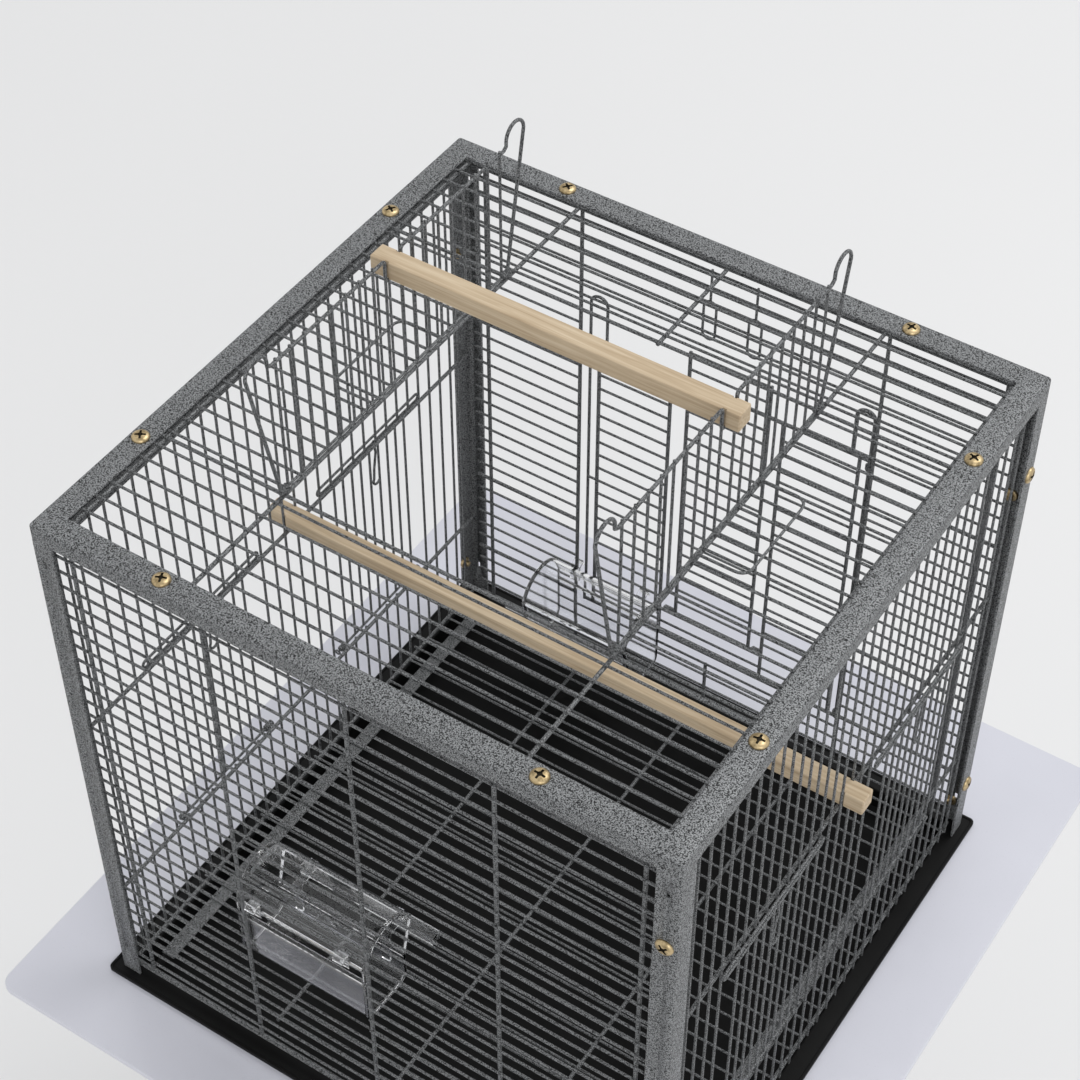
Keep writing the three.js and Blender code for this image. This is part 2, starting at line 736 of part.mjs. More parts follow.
// A roof flap stands on its pin; the middle of its top wire dips under the upper perch.
function makeFlap(name, side) {
  const saddleHalf = perch / 2 + 2 * gap + wire / 2;
  const saddleZ = roofPerchBottom - gap - wire / 2 - flapAxisZ;
  const pinEnd = openHalfY + 2.3;
  const uprights = spread(openHalfY - 5).filter((v) => Math.abs(v) > pitch / 2 + 1);
  const last = uprights[uprights.length - 1];
  const left = [...uprights.filter((v) => v < 0), -saddleHalf - 0.5];
  const right = left.map((v) => -v).reverse();
  const bars = [straight("u", 0, -pinEnd, pinEnd), straight("u", saddleZ, -saddleHalf, saddleHalf, wire)];
  for (const standing of [left, right]) {
    bars.push(lattice([rod / 2 - wire / 2, flapRise], [standing], true));
  }
  for (const s of [-1, 1]) {
    const flare = openHalfY + flapFlare;
    const [from, to] = [s * last, s * (flare - curlRadius)].sort((a, b) => a - b);
    bars.push(straight("u", flapRise, from, to));
    const over = arc(flare, flapRise + curlLift, curlRadius, 0, 180, 6);
    const path = [[pinEnd - wire / 2, 0], ...over, [flare - curlRadius, flapRise - wire / 2]];
    bars.push(bent(path.map(([u, v]) => [s * u, v])));
  }
  const mesh = add(cage, name, joined(bars), paint);
  stood(mesh, Y, Z, new THREE.Vector3(side * openHalfX, 0, flapAxisZ));
}

// ---------- perches ----------

function makePerch(name, from, to, bottom, grooves) {
  const half = perch / 2;
  let bar = block(from, to, -half, half, bottom, bottom + perch);
  for (const x of grooves) {
    for (const s of [-1, 1]) {
      const y = [s * perchNeck, s * (half + 1)].sort((a, b) => a - b);
      bar = bar.subtract(block(x - perchGroove / 2, x + perchGroove / 2, ...y, bottom - 1, bottom + perch + 1));
    }
  }
  add(cage, name, bar, timber);
}

// ---------- feeders ----------

// A clear hooded cup hung inside a wall. It is drawn with the wall at y = 0 and the cage at +Y.
function makeFeeder(name, width, turn, place, barShift, barHeight) {
  const group = new THREE.Group();
  group.rotation.z = turn;
  group.position.copy(place);
  cage.add(group);
  const back = rod / 2 + gap + plastic / 2;
  const front = back + cupDepth;
  const trough = [
    [back, cupHeight],
    ...arc(back + 7, 7, 7, 180, 270, 2),
    ...arc(front - 7, 7, 7, 270, 360, 2),
    [front, cupHeight * 0.6],
  ];
  const hoodHigh = hoodRise - plastic;
  const hood = [[back, cupHeight + 14], ...arc(back + 26, hoodHigh - 26, 26, 165, 15, 6)];
  const cheekShape = new THREE.Shape(
    [...trough.slice().reverse(), ...hood].map(([y, z]) => new THREE.Vector2(y, z)),
  );
  const half = width / 2;
  const across = (body) => body.rotate([90, 0, 0]).rotate([0, 0, 90]);
  const cheeks = [-half, half - plastic].map((x) => plate(cheekShape, x, x + plastic));
  const reach = feederBarReach;
  const cradleY = [
    [front - 1, barHeight - 2.5],
    [reach - feederBar / 2 - 2, barHeight - 2.5],
    [reach + feederBar / 2 + 2.5, barHeight - 2.5],
    [reach + feederBar / 2 + 2.5, barHeight + 3],
  ];
  const cradles = [-half + 14, half - 20].map((x) => {
    const path = cradleY.map(([y, z]) => new THREE.Vector2(y, z));
    return plate(stripOutline(path, plastic), x, x + 6);
  });
  const stem = cradleY[0][1] > cupHeight * 0.6 - 2;
  const shelf = stem
    ? [-half + 14, half - 20].map((x) => {
        const post = [
          [front - 0.5, 8],
          [front + 3, 8],
          [front + 3, barHeight - 2],
          [front - 0.5, barHeight - 2],
        ];
        return plate(new THREE.Shape(post.map(([y, z]) => new THREE.Vector2(y, z))), x, x + 6);
      })
    : [];
  const strips = [trough, hood].map((line) => {
    const path = line.map(([y, z]) => new THREE.Vector2(y, z));
    return plate(stripOutline(path, plastic), -half, half);
  });
  const body = across(joined([...strips, ...cheeks, ...cradles, ...shelf]));
  add(group, name, body, clearPlastic);
  const low = barHeight - 1.5 + gap;
  const barLow = barShift - feederBarLength / 2;
  const inY = reach - feederBar / 2 + 0.4;
  const bar = block(barLow, barLow + feederBarLength, inY, inY + feederBar, low, low + feederBar);
  add(group, `${name}_bar`, bar, clearPlastic);
}

// ---------- assembly ----------

makeDeck();
makePedestal(makeSubframe());
makeFeet();
makeTray();
makeGrate();
makeFrame();
makeFrontWall();
makeSideWall("wall_left", -1);
makeSideWall("wall_right", 1);
makeBackWall();
for (const [sideName, side] of [["left", -1], ["right", 1]]) {
  makeSideDoor(`door_${sideName}_front`, side, -side);
  makeSideDoor(`door_${sideName}_back`, side, side);
}
makeBigDoor();
makeSmallDoor();
makeRoof();
makeFlap("roof_flap_left", -1);
makeFlap("roof_flap_right", 1);
makePerch("perch_roof", roofPerchLeft, roofPerchRight, roofPerchBottom, [-openHalfX, openHalfX]);
const lowPerchEnd = halfW + lowPerchOverhang;
const lowPerchBottom = perchSeat + rod / 2 + gap;
makePerch("perch_low", -lowPerchEnd, lowPerchEnd, lowPerchBottom, [-wallX, wallX]);
makeFeeder("feeder_front", 107, 0, new THREE.Vector3(-58, -wallY, 106), 16, 40);
makeFeeder("feeder_back", 95, Math.PI, new THREE.Vector3(-91, wallY, 27), 7, 40);

export default birdCage;
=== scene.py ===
# %% [markdown]
# # A wire bird cage on its stand
# The cage is welded wire panels screwed to a frame of steel angle. It stands in a black tray, which
# hangs in the cut-out deck of a pedestal. The fixed frame of the model gives every place, so the
# lesson only builds finer pieces over it and gives each one its finish.

# %% Load the fixed frame
import math
import bmesh
import bpy
import numpy as np
from mathutils import Matrix, Vector


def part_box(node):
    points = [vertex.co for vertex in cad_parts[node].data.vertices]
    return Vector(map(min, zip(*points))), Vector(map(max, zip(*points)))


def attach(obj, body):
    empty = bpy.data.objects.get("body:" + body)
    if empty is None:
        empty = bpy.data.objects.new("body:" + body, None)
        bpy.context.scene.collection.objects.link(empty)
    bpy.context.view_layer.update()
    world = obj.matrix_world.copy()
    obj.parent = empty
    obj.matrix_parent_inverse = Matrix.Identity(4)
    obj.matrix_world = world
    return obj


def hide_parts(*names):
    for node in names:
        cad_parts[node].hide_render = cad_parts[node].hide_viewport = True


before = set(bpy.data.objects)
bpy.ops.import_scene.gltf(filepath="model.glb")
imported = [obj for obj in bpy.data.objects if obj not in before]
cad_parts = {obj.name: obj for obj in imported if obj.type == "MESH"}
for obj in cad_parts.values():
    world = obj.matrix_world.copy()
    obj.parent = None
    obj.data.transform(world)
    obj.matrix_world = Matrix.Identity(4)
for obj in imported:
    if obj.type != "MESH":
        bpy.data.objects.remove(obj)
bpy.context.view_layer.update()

# %% [markdown]
# The frame is in metres, but a cage maker thinks in millimetres, so the pieces are drawn in
# millimetres. The cage's own zero is the underside of its posts, and the stand's is the floor.

# %% Measure the frame
def box_mm(node):
    """The lowest and highest corner of a node, in millimetres."""
    low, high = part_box(node)
    return low * 1000, high * 1000


post_low, post_high = box_mm("post_front_left")[0], box_mm("post_back_right")[1]
HALF_X, HALF_Y = post_high.x, (post_high.y - post_low.y) / 2
SHIFT_Y = (post_high.y + post_low.y) / 2  # the cage's middle on the deck
FLOOR = post_low.z
TOP = box_mm("rail_front")[1].z - FLOOR
WALL_X, WALL_Y = HALF_X - 6, HALF_Y - 6  # middle planes of the wire walls
ROOF_Z = TOP - 2.8
WALL_TOP = ROOF_Z - 12
CURB = 7  # lowest wire of the walls
PITCH = 13.7  # from wire to wire
WIRE, ROD = 1.0, 1.5  # radii of thin wire and of the thicker supports
HINGE_OFF = 2.8  # a hinge pin stands this far in front of its wires
BORDER_X, BORDER_Y = HALF_X - 25.5, HALF_Y - 18.5  # last upright of a wall
OPEN_X, OPEN_Y = 118.5, 122  # half sizes of the roof opening
print("cage", 2 * HALF_X, "x", 2 * HALF_Y, "x", TOP, "standing at", FLOOR)

# %% [markdown]
# Wire is a circle carried along a path. A tube is made ring by ring, and each ring is turned just
# enough to stay square to the path, so the wire doesn't twist. The cut ends get a small chamfer.

# %% Wire helpers
END_FACE, CHAMFER = 0.55, 0.4  # a cut end's face and its chamfer, as shares of the wire's radius
TURN_STEPS = 12  # points in one turn of a coil or an eye


def unit(v):
    """A vector, or each row of vectors, at length one."""
    return v / np.maximum(np.linalg.norm(v, axis=-1, keepdims=True), 1e-9)


def wire(points, radius=WIRE, sides=8, closed=False):
    """A round wire along a path, with chamfered ends, or joined to itself."""
    path = np.array(points, float)
    if closed:
        ahead, behind = np.roll(path, -1, 0) - path, path - np.roll(path, 1, 0)
    else:
        step = np.diff(path, axis=0)
        ahead, behind = np.vstack([step, step[-1:]]), np.vstack([step[:1], step])
    tangent = unit(unit(ahead) + unit(behind))
    side = unit(np.cross(tangent[0], np.eye(3)[np.argmin(np.abs(tangent[0]))]))
    turn = np.linspace(0, 2 * np.pi, sides, endpoint=False)
    rings = []
    for point, along in zip(path, tangent):
        side = unit(side - along * (side @ along))
        up = np.cross(along, side)
        rings.append((point, along, np.outer(np.cos(turn), side) + np.outer(np.sin(turn), up)))
    if closed:
        loops = [point + radius * circle for point, _, circle in rings]
        return bridge(loops, wrap=True)
    (start, into, first), (end, out, last) = rings[0], rings[-1]
    tip, chamfer = END_FACE * radius, CHAMFER * radius
    loops = [start + tip * first, start + chamfer * into + radius * first]
    loops += [point + radius * circle for point, _, circle in rings[1:-1]]
    loops += [end - chamfer * out + radius * last, end + tip * last]
    return bridge(loops, caps=True)


def bridge(loops, caps=False, wrap=False):
    """Joins loops of equal count, one after another, into (points, faces)."""
    count, many = len(loops[0]), len(loops)
    faces = []
    for i in range(many if wrap else many - 1):
        a, b = i * count, (i + 1) % many * count
        faces += [(a + j, a + (j + 1) % count, b + (j + 1) % count, b + j) for j in range(count)]
    if caps:
        faces.append(tuple(range(count))[::-1])
        faces.append(tuple((many - 1) * count + j for j in range(count)))
    return np.vstack(loops), faces


def bend(corners, radius, steps=5):
    """Rounds the inner corners of a path."""
    points = [np.array(c, float) for c in corners]
    path = [points[0]]
    for before, corner, after in zip(points, points[1:], points[2:]):
        to_before, to_after = before - corner, after - corner
        half = math.acos(np.clip(unit(to_before) @ unit(to_after), -1, 1)) / 2
        room = 0.48 * min(np.linalg.norm(to_before), np.linalg.norm(to_after))
        reach = min(radius / max(math.tan(half), 1e-3), room)
        start, end = corner + unit(to_before) * reach, corner + unit(to_after) * reach
        for i in range(steps + 1):
            t = i / steps
            path.append((1 - t) ** 2 * start + 2 * t * (1 - t) * corner + t**2 * end)
    return path + [points[-1]]


def coil(start, along, radius, turns, lead):
    """A helix round a level pin: `start` on the pin, `along` its direction."""
    along = unit(np.array(along, float))
    side = unit(np.cross(along, np.array((0, 0, 1), float)))
    up = np.cross(side, along)
    path = []
    for t in np.linspace(0, turns, int(turns * TURN_STEPS) + 1):
        round_pin = math.cos(2 * math.pi * t) * side + math.sin(2 * math.pi * t) * up
        path.append(np.array(start, float) + along * lead * t + radius * round_pin)
    return path


def eye(middle, axis, radius, thick):
    """One closed turn of wire round a pin that lies along axis 0, 1 or 2."""
    first, second = [other for other in range(3) if other != axis]
    angle = np.linspace(0, 2 * math.pi, TURN_STEPS, endpoint=False)
    ring = np.tile(np.array(middle, float), (TURN_STEPS, 1))
    ring[:, first] += radius * np.cos(angle)
    ring[:, second] += radius * np.sin(angle)
    return wire(ring, thick, closed=True)


print("a straight wire has", len(wire([(0, 0, 0), (0, 0, 9)])[0]), "points")

# %% [markdown]
# Plates, trays and bars are lofts: rounded rectangles, one after another, joined by their corners.
# A turned part is a profile carried round an axis. A bent section is a profile carried round the
# ring, mitred where it turns.

# %% Plate helpers
def rounded(half_x, half_y, radius, z, steps=5):
    """A level rectangle with round corners, as one loop of points."""
    loop = []
    for quarter, (sx, sy) in enumerate([(1, 1), (-1, 1), (-1, -1), (1, -1)]):
        for i in range(steps + 1):
            angle = math.pi / 2 * (quarter + i / steps)
            x = sx * (half_x - radius) + radius * math.cos(angle)
            loop.append((x, sy * (half_y - radius) + radius * math.sin(angle), z))
    return np.array(loop)


def loft(sections, wrap=False, steps=5):
    """sections: (half_x, half_y, corner radius, z) from the first loop to the last."""
    loops = [rounded(x, y, max(radius, 0.02), z, steps) for x, y, radius, z in sections]
    return bridge(loops, caps=not wrap, wrap=wrap)


def lathe(profile, sides):
    """profile: (radius, z) from the first loop to the last."""
    turn = np.linspace(0, 2 * np.pi, sides, endpoint=False)
    loops = []
    for radius, z in profile:
        loops.append(np.stack([radius * np.cos(turn), radius * np.sin(turn), np.full(sides, z)], 1))
    return bridge(loops, caps=True)


def moved(part, shift=(0, 0, 0), turn=None):
    """A part turned by a matrix, then moved."""
    points, faces = part
    points = points @ np.array(turn, float).T if turn is not None else points
    return points + np.array(shift, float), faces


def slab(low, high, edge=0.3):
    """A block with broken edges."""
    low, high = np.array(low, float), np.array(high, float)
    half = (high - low) / 2
    z = half[2]
    cut = min(edge, 0.45 * min(half))
    rows = [(half[0] - cut, half[1] - cut, cut, -z), (half[0], half[1], cut, -z + cut)]
    rows += [(half[0], half[1], cut, z - cut), (half[0] - cut, half[1] - cut, cut, z)]
    return moved(loft(rows, steps=2), (low + high) / 2)


print("a slab has", len(slab((0, 0, 0), (9, 9, 9))[1]), "faces")

# %% [markdown]
# Every piece goes through one helper, which makes the mesh, shades it smooth except at real edges,
# gives it a finish, and lets it ride on its body so that it moves with its joint.

# %% Piece helper
CAGE_BASE = Vector((0, SHIFT_Y, FLOOR))
STAND_BASE = Vector((0, SHIFT_Y, 0))
OWN_BASE = Vector((0, 0, 0))
print("cage drawn from", tuple(CAGE_BASE))


def new_object(name, data):
    made = bpy.data.objects.new(name, data)
    bpy.context.scene.collection.objects.link(made)
    return made


def mesh_of(name, parts, base=CAGE_BASE, smooth=40):
    """Joins parts drawn in millimetres from `base` into one mesh in metres."""
    points, faces, start = [], [], 0
    for part_points, part_faces in parts:
        points.append(np.array(part_points, float))
        faces += [tuple(start + i for i in face) for face in part_faces]
        start += len(part_points)
    mesh = bpy.data.meshes.new(name)
    mesh.from_pydata((np.vstack(points) + np.array(base)) * 0.001, [], faces)
    mesh.validate()
    work = bmesh.new()
    work.from_mesh(mesh)
    bmesh.ops.recalc_face_normals(work, faces=work.faces)
    work.to_mesh(mesh)
    work.free()
    mesh.shade_smooth()
    mesh.set_sharp_from_angle(angle=math.radians(smooth))
    return mesh


def piece(name, parts, finish, body, replaces=(), base=CAGE_BASE, smooth=40):
    """Makes a piece that rides on a body and stands for the nodes it replaces."""
    made = new_object(name, mesh_of(name, parts, base, smooth))
    made.data.materials.append(finish)
    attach(made, body)
    if replaces:
        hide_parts(*replaces)
    print(name, len(made.data.polygons), "faces on", body)
    return made

# %% [markdown]
# ## Finishes
# Hammered enamel is the look of the whole cage: the paint breaks up into bright and dark grains about
# a millimetre across. The frame, the wires and the stand all use the same effect at other sizes, so
# it is a node group with named inputs. A painted picture of the grain would repeat and blur close up,
# while nodes stay sharp at any distance. The group gives a mask and a height; the colours stay in each
# material.

# %% Node helpers
def add_node(tree, kind, **values):
    made = tree.nodes.new(kind)
    for name, value in values.items():
        if name in made.inputs:
            made.inputs[name].default_value = value
        else:
            setattr(made, name, value)
    return made


def group_tree(name, inputs, outputs):
    tree = bpy.data.node_groups.new(name, "ShaderNodeTree")
    for label, default in inputs:
        socket = tree.interface.new_socket(label, in_out="INPUT", socket_type="NodeSocketFloat")
        socket.default_value = default
    for label in outputs:
        tree.interface.new_socket(label, in_out="OUTPUT", socket_type="NodeSocketFloat")
    return tree, tree.nodes.new("NodeGroupInput"), tree.nodes.new("NodeGroupOutput")


def ramp(tree, source, stops):
    made = tree.nodes.new("ShaderNodeValToRGB")
    while len(made.color_ramp.elements) < len(stops):
        made.color_ramp.elements.new(0.5)
    for element, (place, colour) in zip(made.color_ramp.elements, stops):
        element.position = place
        element.color = (*colour, 1)
    tree.links.new(source, made.inputs[0])
    return made.outputs[0]


def maths(tree, operation, a, b):
    made = tree.nodes.new("ShaderNodeMath")
    made.operation = operation
    for socket, value in zip(made.inputs, (a, b)):
        if isinstance(value, (int, float)):
            socket.default_value = value
        else:
            tree.links.new(value, socket)
    return made.outputs[0]


# %% Hammered grain, shared by every enamelled piece
GRAIN_LIFT = 0.22  # brings the grain mask back to the middle of its range


def make_grain():
    inputs = [("Grains per metre", 1000), ("Veins", 0.5)]
    tree, given, out = group_tree("hammered_grain", inputs, ["Grain", "Height"])
    place = tree.nodes.new("ShaderNodeTexCoord").outputs["Object"]
    cells = add_node(tree, "ShaderNodeTexVoronoi", feature="SMOOTH_F1", Smoothness=0.35)
    blots = add_node(tree, "ShaderNodeTexNoise", Detail=3.0, Roughness=0.75)
    for texture in (cells, blots):
        tree.links.new(place, texture.inputs["Vector"])
        tree.links.new(given.outputs[0], texture.inputs["Scale"])
    veins = maths(tree, "MULTIPLY", cells.outputs["Distance"], given.outputs[1])
    mixed = maths(tree, "SUBTRACT", blots.outputs["Fac"], veins)
    tree.links.new(maths(tree, "ADD", mixed, GRAIN_LIFT), out.inputs["Grain"])
    tree.links.new(mixed, out.inputs["Height"])
    return tree


# %% Edge and handling wear, shared by wood, plastic and paint
def make_wear():
    inputs = [("Patches per metre", 20), ("Fine per metre", 400)]
    tree, given, out = group_tree("soft_wear", inputs, ["Patch", "Fine"])
    place = tree.nodes.new("ShaderNodeTexCoord").outputs["Object"]
    for i, (label, detail) in enumerate((("Patch", 3.0), ("Fine", 5.0))):
        noise = add_node(tree, "ShaderNodeTexNoise", Detail=detail, Roughness=0.6)
        tree.links.new(place, noise.inputs["Vector"])
        tree.links.new(given.outputs[i], noise.inputs["Scale"])
        tree.links.new(noise.outputs["Fac"], out.inputs[label])
    return tree


grain_group, wear_group = make_grain(), make_wear()
print("effects:", [g.name for g in bpy.data.node_groups])

# %% [markdown]
# A material places the effects it needs, turns their masks into colours with a ramp, and feeds its own
# Principled shader. Values that are the same all over are set straight on the shader.

# %% Material helpers
def new_finish(name, **shader_values):
    made = bpy.data.materials.new(name)
    made.use_nodes = True
    tree = made.node_tree
    shader = tree.nodes["Principled BSDF"]
    for label, value in shader_values.items():
        shader.inputs[label.replace("_", " ")].default_value = value
    return made, tree, shader


def place_group(tree, group, first, second):
    node = tree.nodes.new("ShaderNodeGroup")
    node.node_tree = group
    node.inputs[0].default_value, node.inputs[1].default_value = first, second
    return node


def bump(tree, shader, height, strength, distance):
    node = add_node(tree, "ShaderNodeBump", Strength=strength, Distance=distance)
    tree.links.new(height, node.inputs["Height"])
    tree.links.new(node.outputs["Normal"], shader.inputs["Normal"])


def tone(tree, shader, mask, stops, socket="Base Color"):
    tree.links.new(ramp(tree, mask, stops), shader.inputs[socket])


def grey(value, tint=(1, 1, 1)):
    return tuple(value * t for t in tint)


def roughen(tree, shader, mask, low, high):
    """Roughness `low` where the mask is dark, and `high` where it is bright."""
    tone(tree, shader, mask, [(0.3, grey(low)), (0.7, grey(high))], "Roughness")


def worn_finish(name, patches, fine, stops, roughness, relief, **shader_values):
    """Colour in patches, with gloss and relief in fine grain."""
    made, tree, shader = new_finish(name, **shader_values)
    wear = place_group(tree, wear_group, patches, fine)
    tone(tree, shader, wear.outputs["Patch"], stops)
    roughen(tree, shader, wear.outputs["Fine"], *roughness)
    bump(tree, shader, wear.outputs["Fine"], *relief)
    print("finish", name)
    return made


# %% [markdown]
# The enamel is stoved on over the steel. A flat grey with a bump would lose its bright flecks, so one
# grain mask sets the colour, the gloss and the relief together. The paint is thinner on the wires, so
# they take a finer and darker grain than the angle iron.

# %% Hammered enamel for the frame and the wires
VEINS = 0.35
COOL = (0.97, 1.0, 1.02)


def enamel(name, grains, dark, light, height):
    made, tree, shader = new_finish(name, Metallic=0.15, Specular_IOR_Level=0.3)
    grain = place_group(tree, grain_group, grains, VEINS)
    middle = (dark + light) / 3.4
    stops = [(0.42, grey(dark, COOL)), (0.5, grey(middle, COOL)), (0.62, grey(light, COOL))]
    tone(tree, shader, grain.outputs["Grain"], stops)
    roughen(tree, shader, grain.outputs["Grain"], 0.62, 0.42)
    bump(tree, shader, grain.outputs["Height"], 0.35, height)
    print("finish", name)
    return made


frame_enamel = enamel("frame_enamel", grains=1100, dark=0.004, light=0.28, height=0.00025)
wire_enamel = enamel("wire_enamel", grains=1300, dark=0.006, light=0.22, height=0.00012)

# %% [markdown]
# The screws are brass-coloured and a little tarnished: two browns in small patches over full metal. A
# plain metal would mirror the white room and look silver, so the dark patches hold it back.

# %% Brass screws and the painted shade in their recess
BRASS = [(0.3, (0.22, 0.16, 0.08)), (0.6, (0.60, 0.47, 0.27))]
screw_brass = worn_finish("screw_brass", 300, 3000, BRASS, (0.3, 0.5), (0.15, 0.0001), Metallic=1.0)

# Painted shade: a near-black colour with a little random variation for the faces inside a screw's cross
# recess, standing in for the shade of the cut.
recess_painted_shade, tree, shader = new_finish("recess_painted_shade", Metallic=0.6, Roughness=0.6)
wear = place_group(tree, wear_group, 300, 3000)
tone(tree, shader, wear.outputs["Fine"], [(0.3, (0.01, 0.008, 0.006)), (0.7, (0.05, 0.04, 0.02))])

# %% [markdown]
# The perches are bare softwood with straight fibres. Noise becomes wood when it is stretched along
# the bar, which a Mapping node does by squeezing the other two directions, and some slow patches are
# mixed in so that the two bars aren't the same all along.

# %% Bare timber
FIBRE_SCALE = (14, 420, 420)  # along the bar, and across it
FIBRE_SHARE, PATCH_SHARE = 0.65, 0.35
TIMBER = [(0.33, (0.36, 0.265, 0.165)), (0.5, (0.49, 0.385, 0.26)), (0.66, (0.59, 0.485, 0.345))]
perch_timber, tree, shader = new_finish("perch_timber", Specular_IOR_Level=0.3)
squeeze = tree.nodes.new("ShaderNodeMapping")
squeeze.inputs["Scale"].default_value = FIBRE_SCALE
place = tree.nodes.new("ShaderNodeTexCoord").outputs["Object"]
tree.links.new(place, squeeze.inputs["Vector"])
fibre = add_node(tree, "ShaderNodeTexNoise", Scale=1.0, Detail=4.0, Roughness=0.55, Distortion=0.6)
tree.links.new(squeeze.outputs[0], fibre.inputs["Vector"])
wear = place_group(tree, wear_group, 9, 900)
fibres = maths(tree, "MULTIPLY", fibre.outputs["Fac"], FIBRE_SHARE)
patches = maths(tree, "MULTIPLY", wear.outputs["Patch"], PATCH_SHARE)
tone(tree, shader, maths(tree, "ADD", fibres, patches), TIMBER)
roughen(tree, shader, wear.outputs["Fine"], 0.75, 0.55)
bump(tree, shader, fibre.outputs["Fac"], 0.25, 0.0003)
print("finish", perch_timber.name)

# %% [markdown]
# The tray is a black moulding with a fine satin texture. Its black is never zero, so that the wires'
# shadows still show in it. The cups are clear: full transmission with a low, slightly uneven
# roughness, as on plastic that has been wiped many times.

# %% Black and clear plastic
TRAY = [(0.3, grey(0.003)), (0.7, grey(0.007))]
tray_black = worn_finish("tray_black", 12, 1800, TRAY, (0.6, 0.42), (0.3, 0.0002),
                         Specular_IOR_Level=0.12)

feeder_clear, tree, shader = new_finish("feeder_clear", Transmission_Weight=1.0, IOR=1.42, Metallic=0.0)
shader.inputs["Base Color"].default_value = (0.99, 0.995, 1.0, 1)
wear = place_group(tree, wear_group, 60, 500)
tone(tree, shader, wear.outputs["Patch"], [(0.35, grey(0.0)), (0.7, grey(0.03))], "Roughness")
bump(tree, shader, wear.outputs["Patch"], 0.02, 0.0008)
print("finish", feeder_clear.name)

# %% [markdown]
# The deck is a smooth pale lavender board with a thin clear coat, and the steel under it has a powder
# coat of nearly the same colour, with a fine orange-peel relief. The feet are dull rubber. All three
# differ only in numbers, so they come from the same recipe.

# %% Deck, stand paint and feet
LAVENDER = [(0.3, (0.575, 0.58, 0.64)), (0.7, (0.615, 0.62, 0.68))]
POWDER = [(0.3, (0.52, 0.525, 0.56)), (0.7, (0.57, 0.575, 0.61))]
RUBBER = [(0.3, grey(0.018)), (0.7, grey(0.035))]
deck_lavender = worn_finish("deck_lavender", 6, 700, LAVENDER, (0.36, 0.26), (0.06, 0.0003),
                            Specular_IOR_Level=0.5, Coat_Weight=0.25)
stand_coat = worn_finish("stand_coat", 10, 1400, POWDER, (0.5, 0.35), (0.35, 0.00025),
                         Specular_IOR_Level=0.45)
foot_rubber = worn_finish("foot_rubber", 25, 1200, RUBBER, (0.9, 0.7), (0.4, 0.0003),
                          Specular_IOR_Level=0.3)

# %% [markdown]
# ## Room, light and camera
# The floor is one large pale plane, big enough that its edge is never seen. It is part of the stage
# and not of the object.

# %% Floor
FLOOR_HALF = 30  # metres
floor_paint, tree, shader = new_finish("floor_paint", Roughness=0.9, Specular_IOR_Level=0.1)
wear = place_group(tree, wear_group, 0.6, 40)
tone(tree, shader, wear.outputs["Patch"], [(0.2, grey(0.725)), (0.8, grey(0.745))])
floor_mesh = bpy.data.meshes.new("floor")
corners = [(x * FLOOR_HALF, y * FLOOR_HALF, 0) for x, y in ((-1, -1), (1, -1), (1, 1), (-1, 1))]
floor_mesh.from_pydata(corners, [], [(0, 1, 2, 3)])
floor_mesh.materials.append(floor_paint)
new_object("floor", floor_mesh)
print("floor", 2 * FLOOR_HALF, "m across")

# %% [markdown]
# A bright dome gives light from all sides. One large lamp behind the cage puts its faint shadow on
# the near end of the deck, and a second one on the camera's side lifts the near faces a little.

# %% Light
ROOM_COLOUR, ROOM_LIGHT = (0.985, 0.99, 1.0, 1), 0.84
LAMP_AIM = Vector((0, 0, 0.8))
scene = bpy.context.scene
scene.view_settings.view_transform = "Standard"
scene.view_settings.look = "None"
world = bpy.data.worlds.new("soft_room")
scene.world = world
world.use_nodes = True
background = world.node_tree.nodes["Background"]
background.inputs["Color"].default_value = ROOM_COLOUR
background.inputs["Strength"].default_value = ROOM_LIGHT


def lamp(name, place, size, power):
    data = bpy.data.lights.new(name, "AREA")
    data.shape, data.size, data.energy = "DISK", size, power
    made = new_object(name, data)
    made.location = place
    made.rotation_euler = (LAMP_AIM - Vector(place)).to_track_quat("-Z", "Y").to_euler()
    print(name, "at", place, "with", power, "W")


lamp("key_lamp", (1.3, 2.5, 5.3), 3.2, 100)
lamp("fill_lamp", (3.5, -3.5, 3.5), 3.5, 60)

# %% [markdown]
# The camera looks steeply down on the right front corner. A long lens from far away keeps the edges
# of the cage nearly parallel, where a short one would make its top look much wider than its foot.

# %% Camera
LOOK = Vector((-0.379, 0.577, -0.724))
camera_data = bpy.data.cameras.new("camera")
camera_data.lens, camera_data.sensor_width = 81.5, 36
camera = new_object("camera", camera_data)
camera.location = (0.5878, SHIFT_Y / 1000 - 0.9121, 2.127)
camera.rotation_euler = LOOK.to_track_quat("-Z", "Y").to_euler()
scene.camera = camera
print("camera at", tuple(camera.location))

# %% [markdown]
# ## Frame
# The ring on top of the cage is one angle section with its corners welded and ground. Four separate
# bars would show their joints, so the profile is carried round the rectangle: the corners are
# continuous and the outer bend is soft.

# %% Ring
LEG, SHEET, FLANGE, DROP = 16, 1.6, 17, 13
ring_profile = [(0, TOP - DROP), (0, TOP - 1.6), (-0.45, TOP - 0.5), (-1.5, TOP)]
ring_profile += [(-FLANGE + 0.4, TOP), (-FLANGE, TOP - 0.4), (-FLANGE, TOP - SHEET)]
ring_profile += [(-SHEET, TOP - SHEET), (-SHEET, TOP - DROP)]
ring_rows = [(HALF_X + dx, HALF_Y + dx, max(2.2 + dx, 0.6), z) for dx, z in ring_profile]
rails = ["rail_front", "rail_right", "rail_back", "rail_left"]
piece("top_ring", [loft(ring_rows, wrap=True)], frame_enamel, "cage", rails)

# %% [markdown]
# The posts are the same angle, drawn as a rounded L and pulled up. The small black slots in them are
# real cuts. A boolean takes the cutter's shape out of the post and its result is kept as the mesh, so
# nothing is left to work out later.

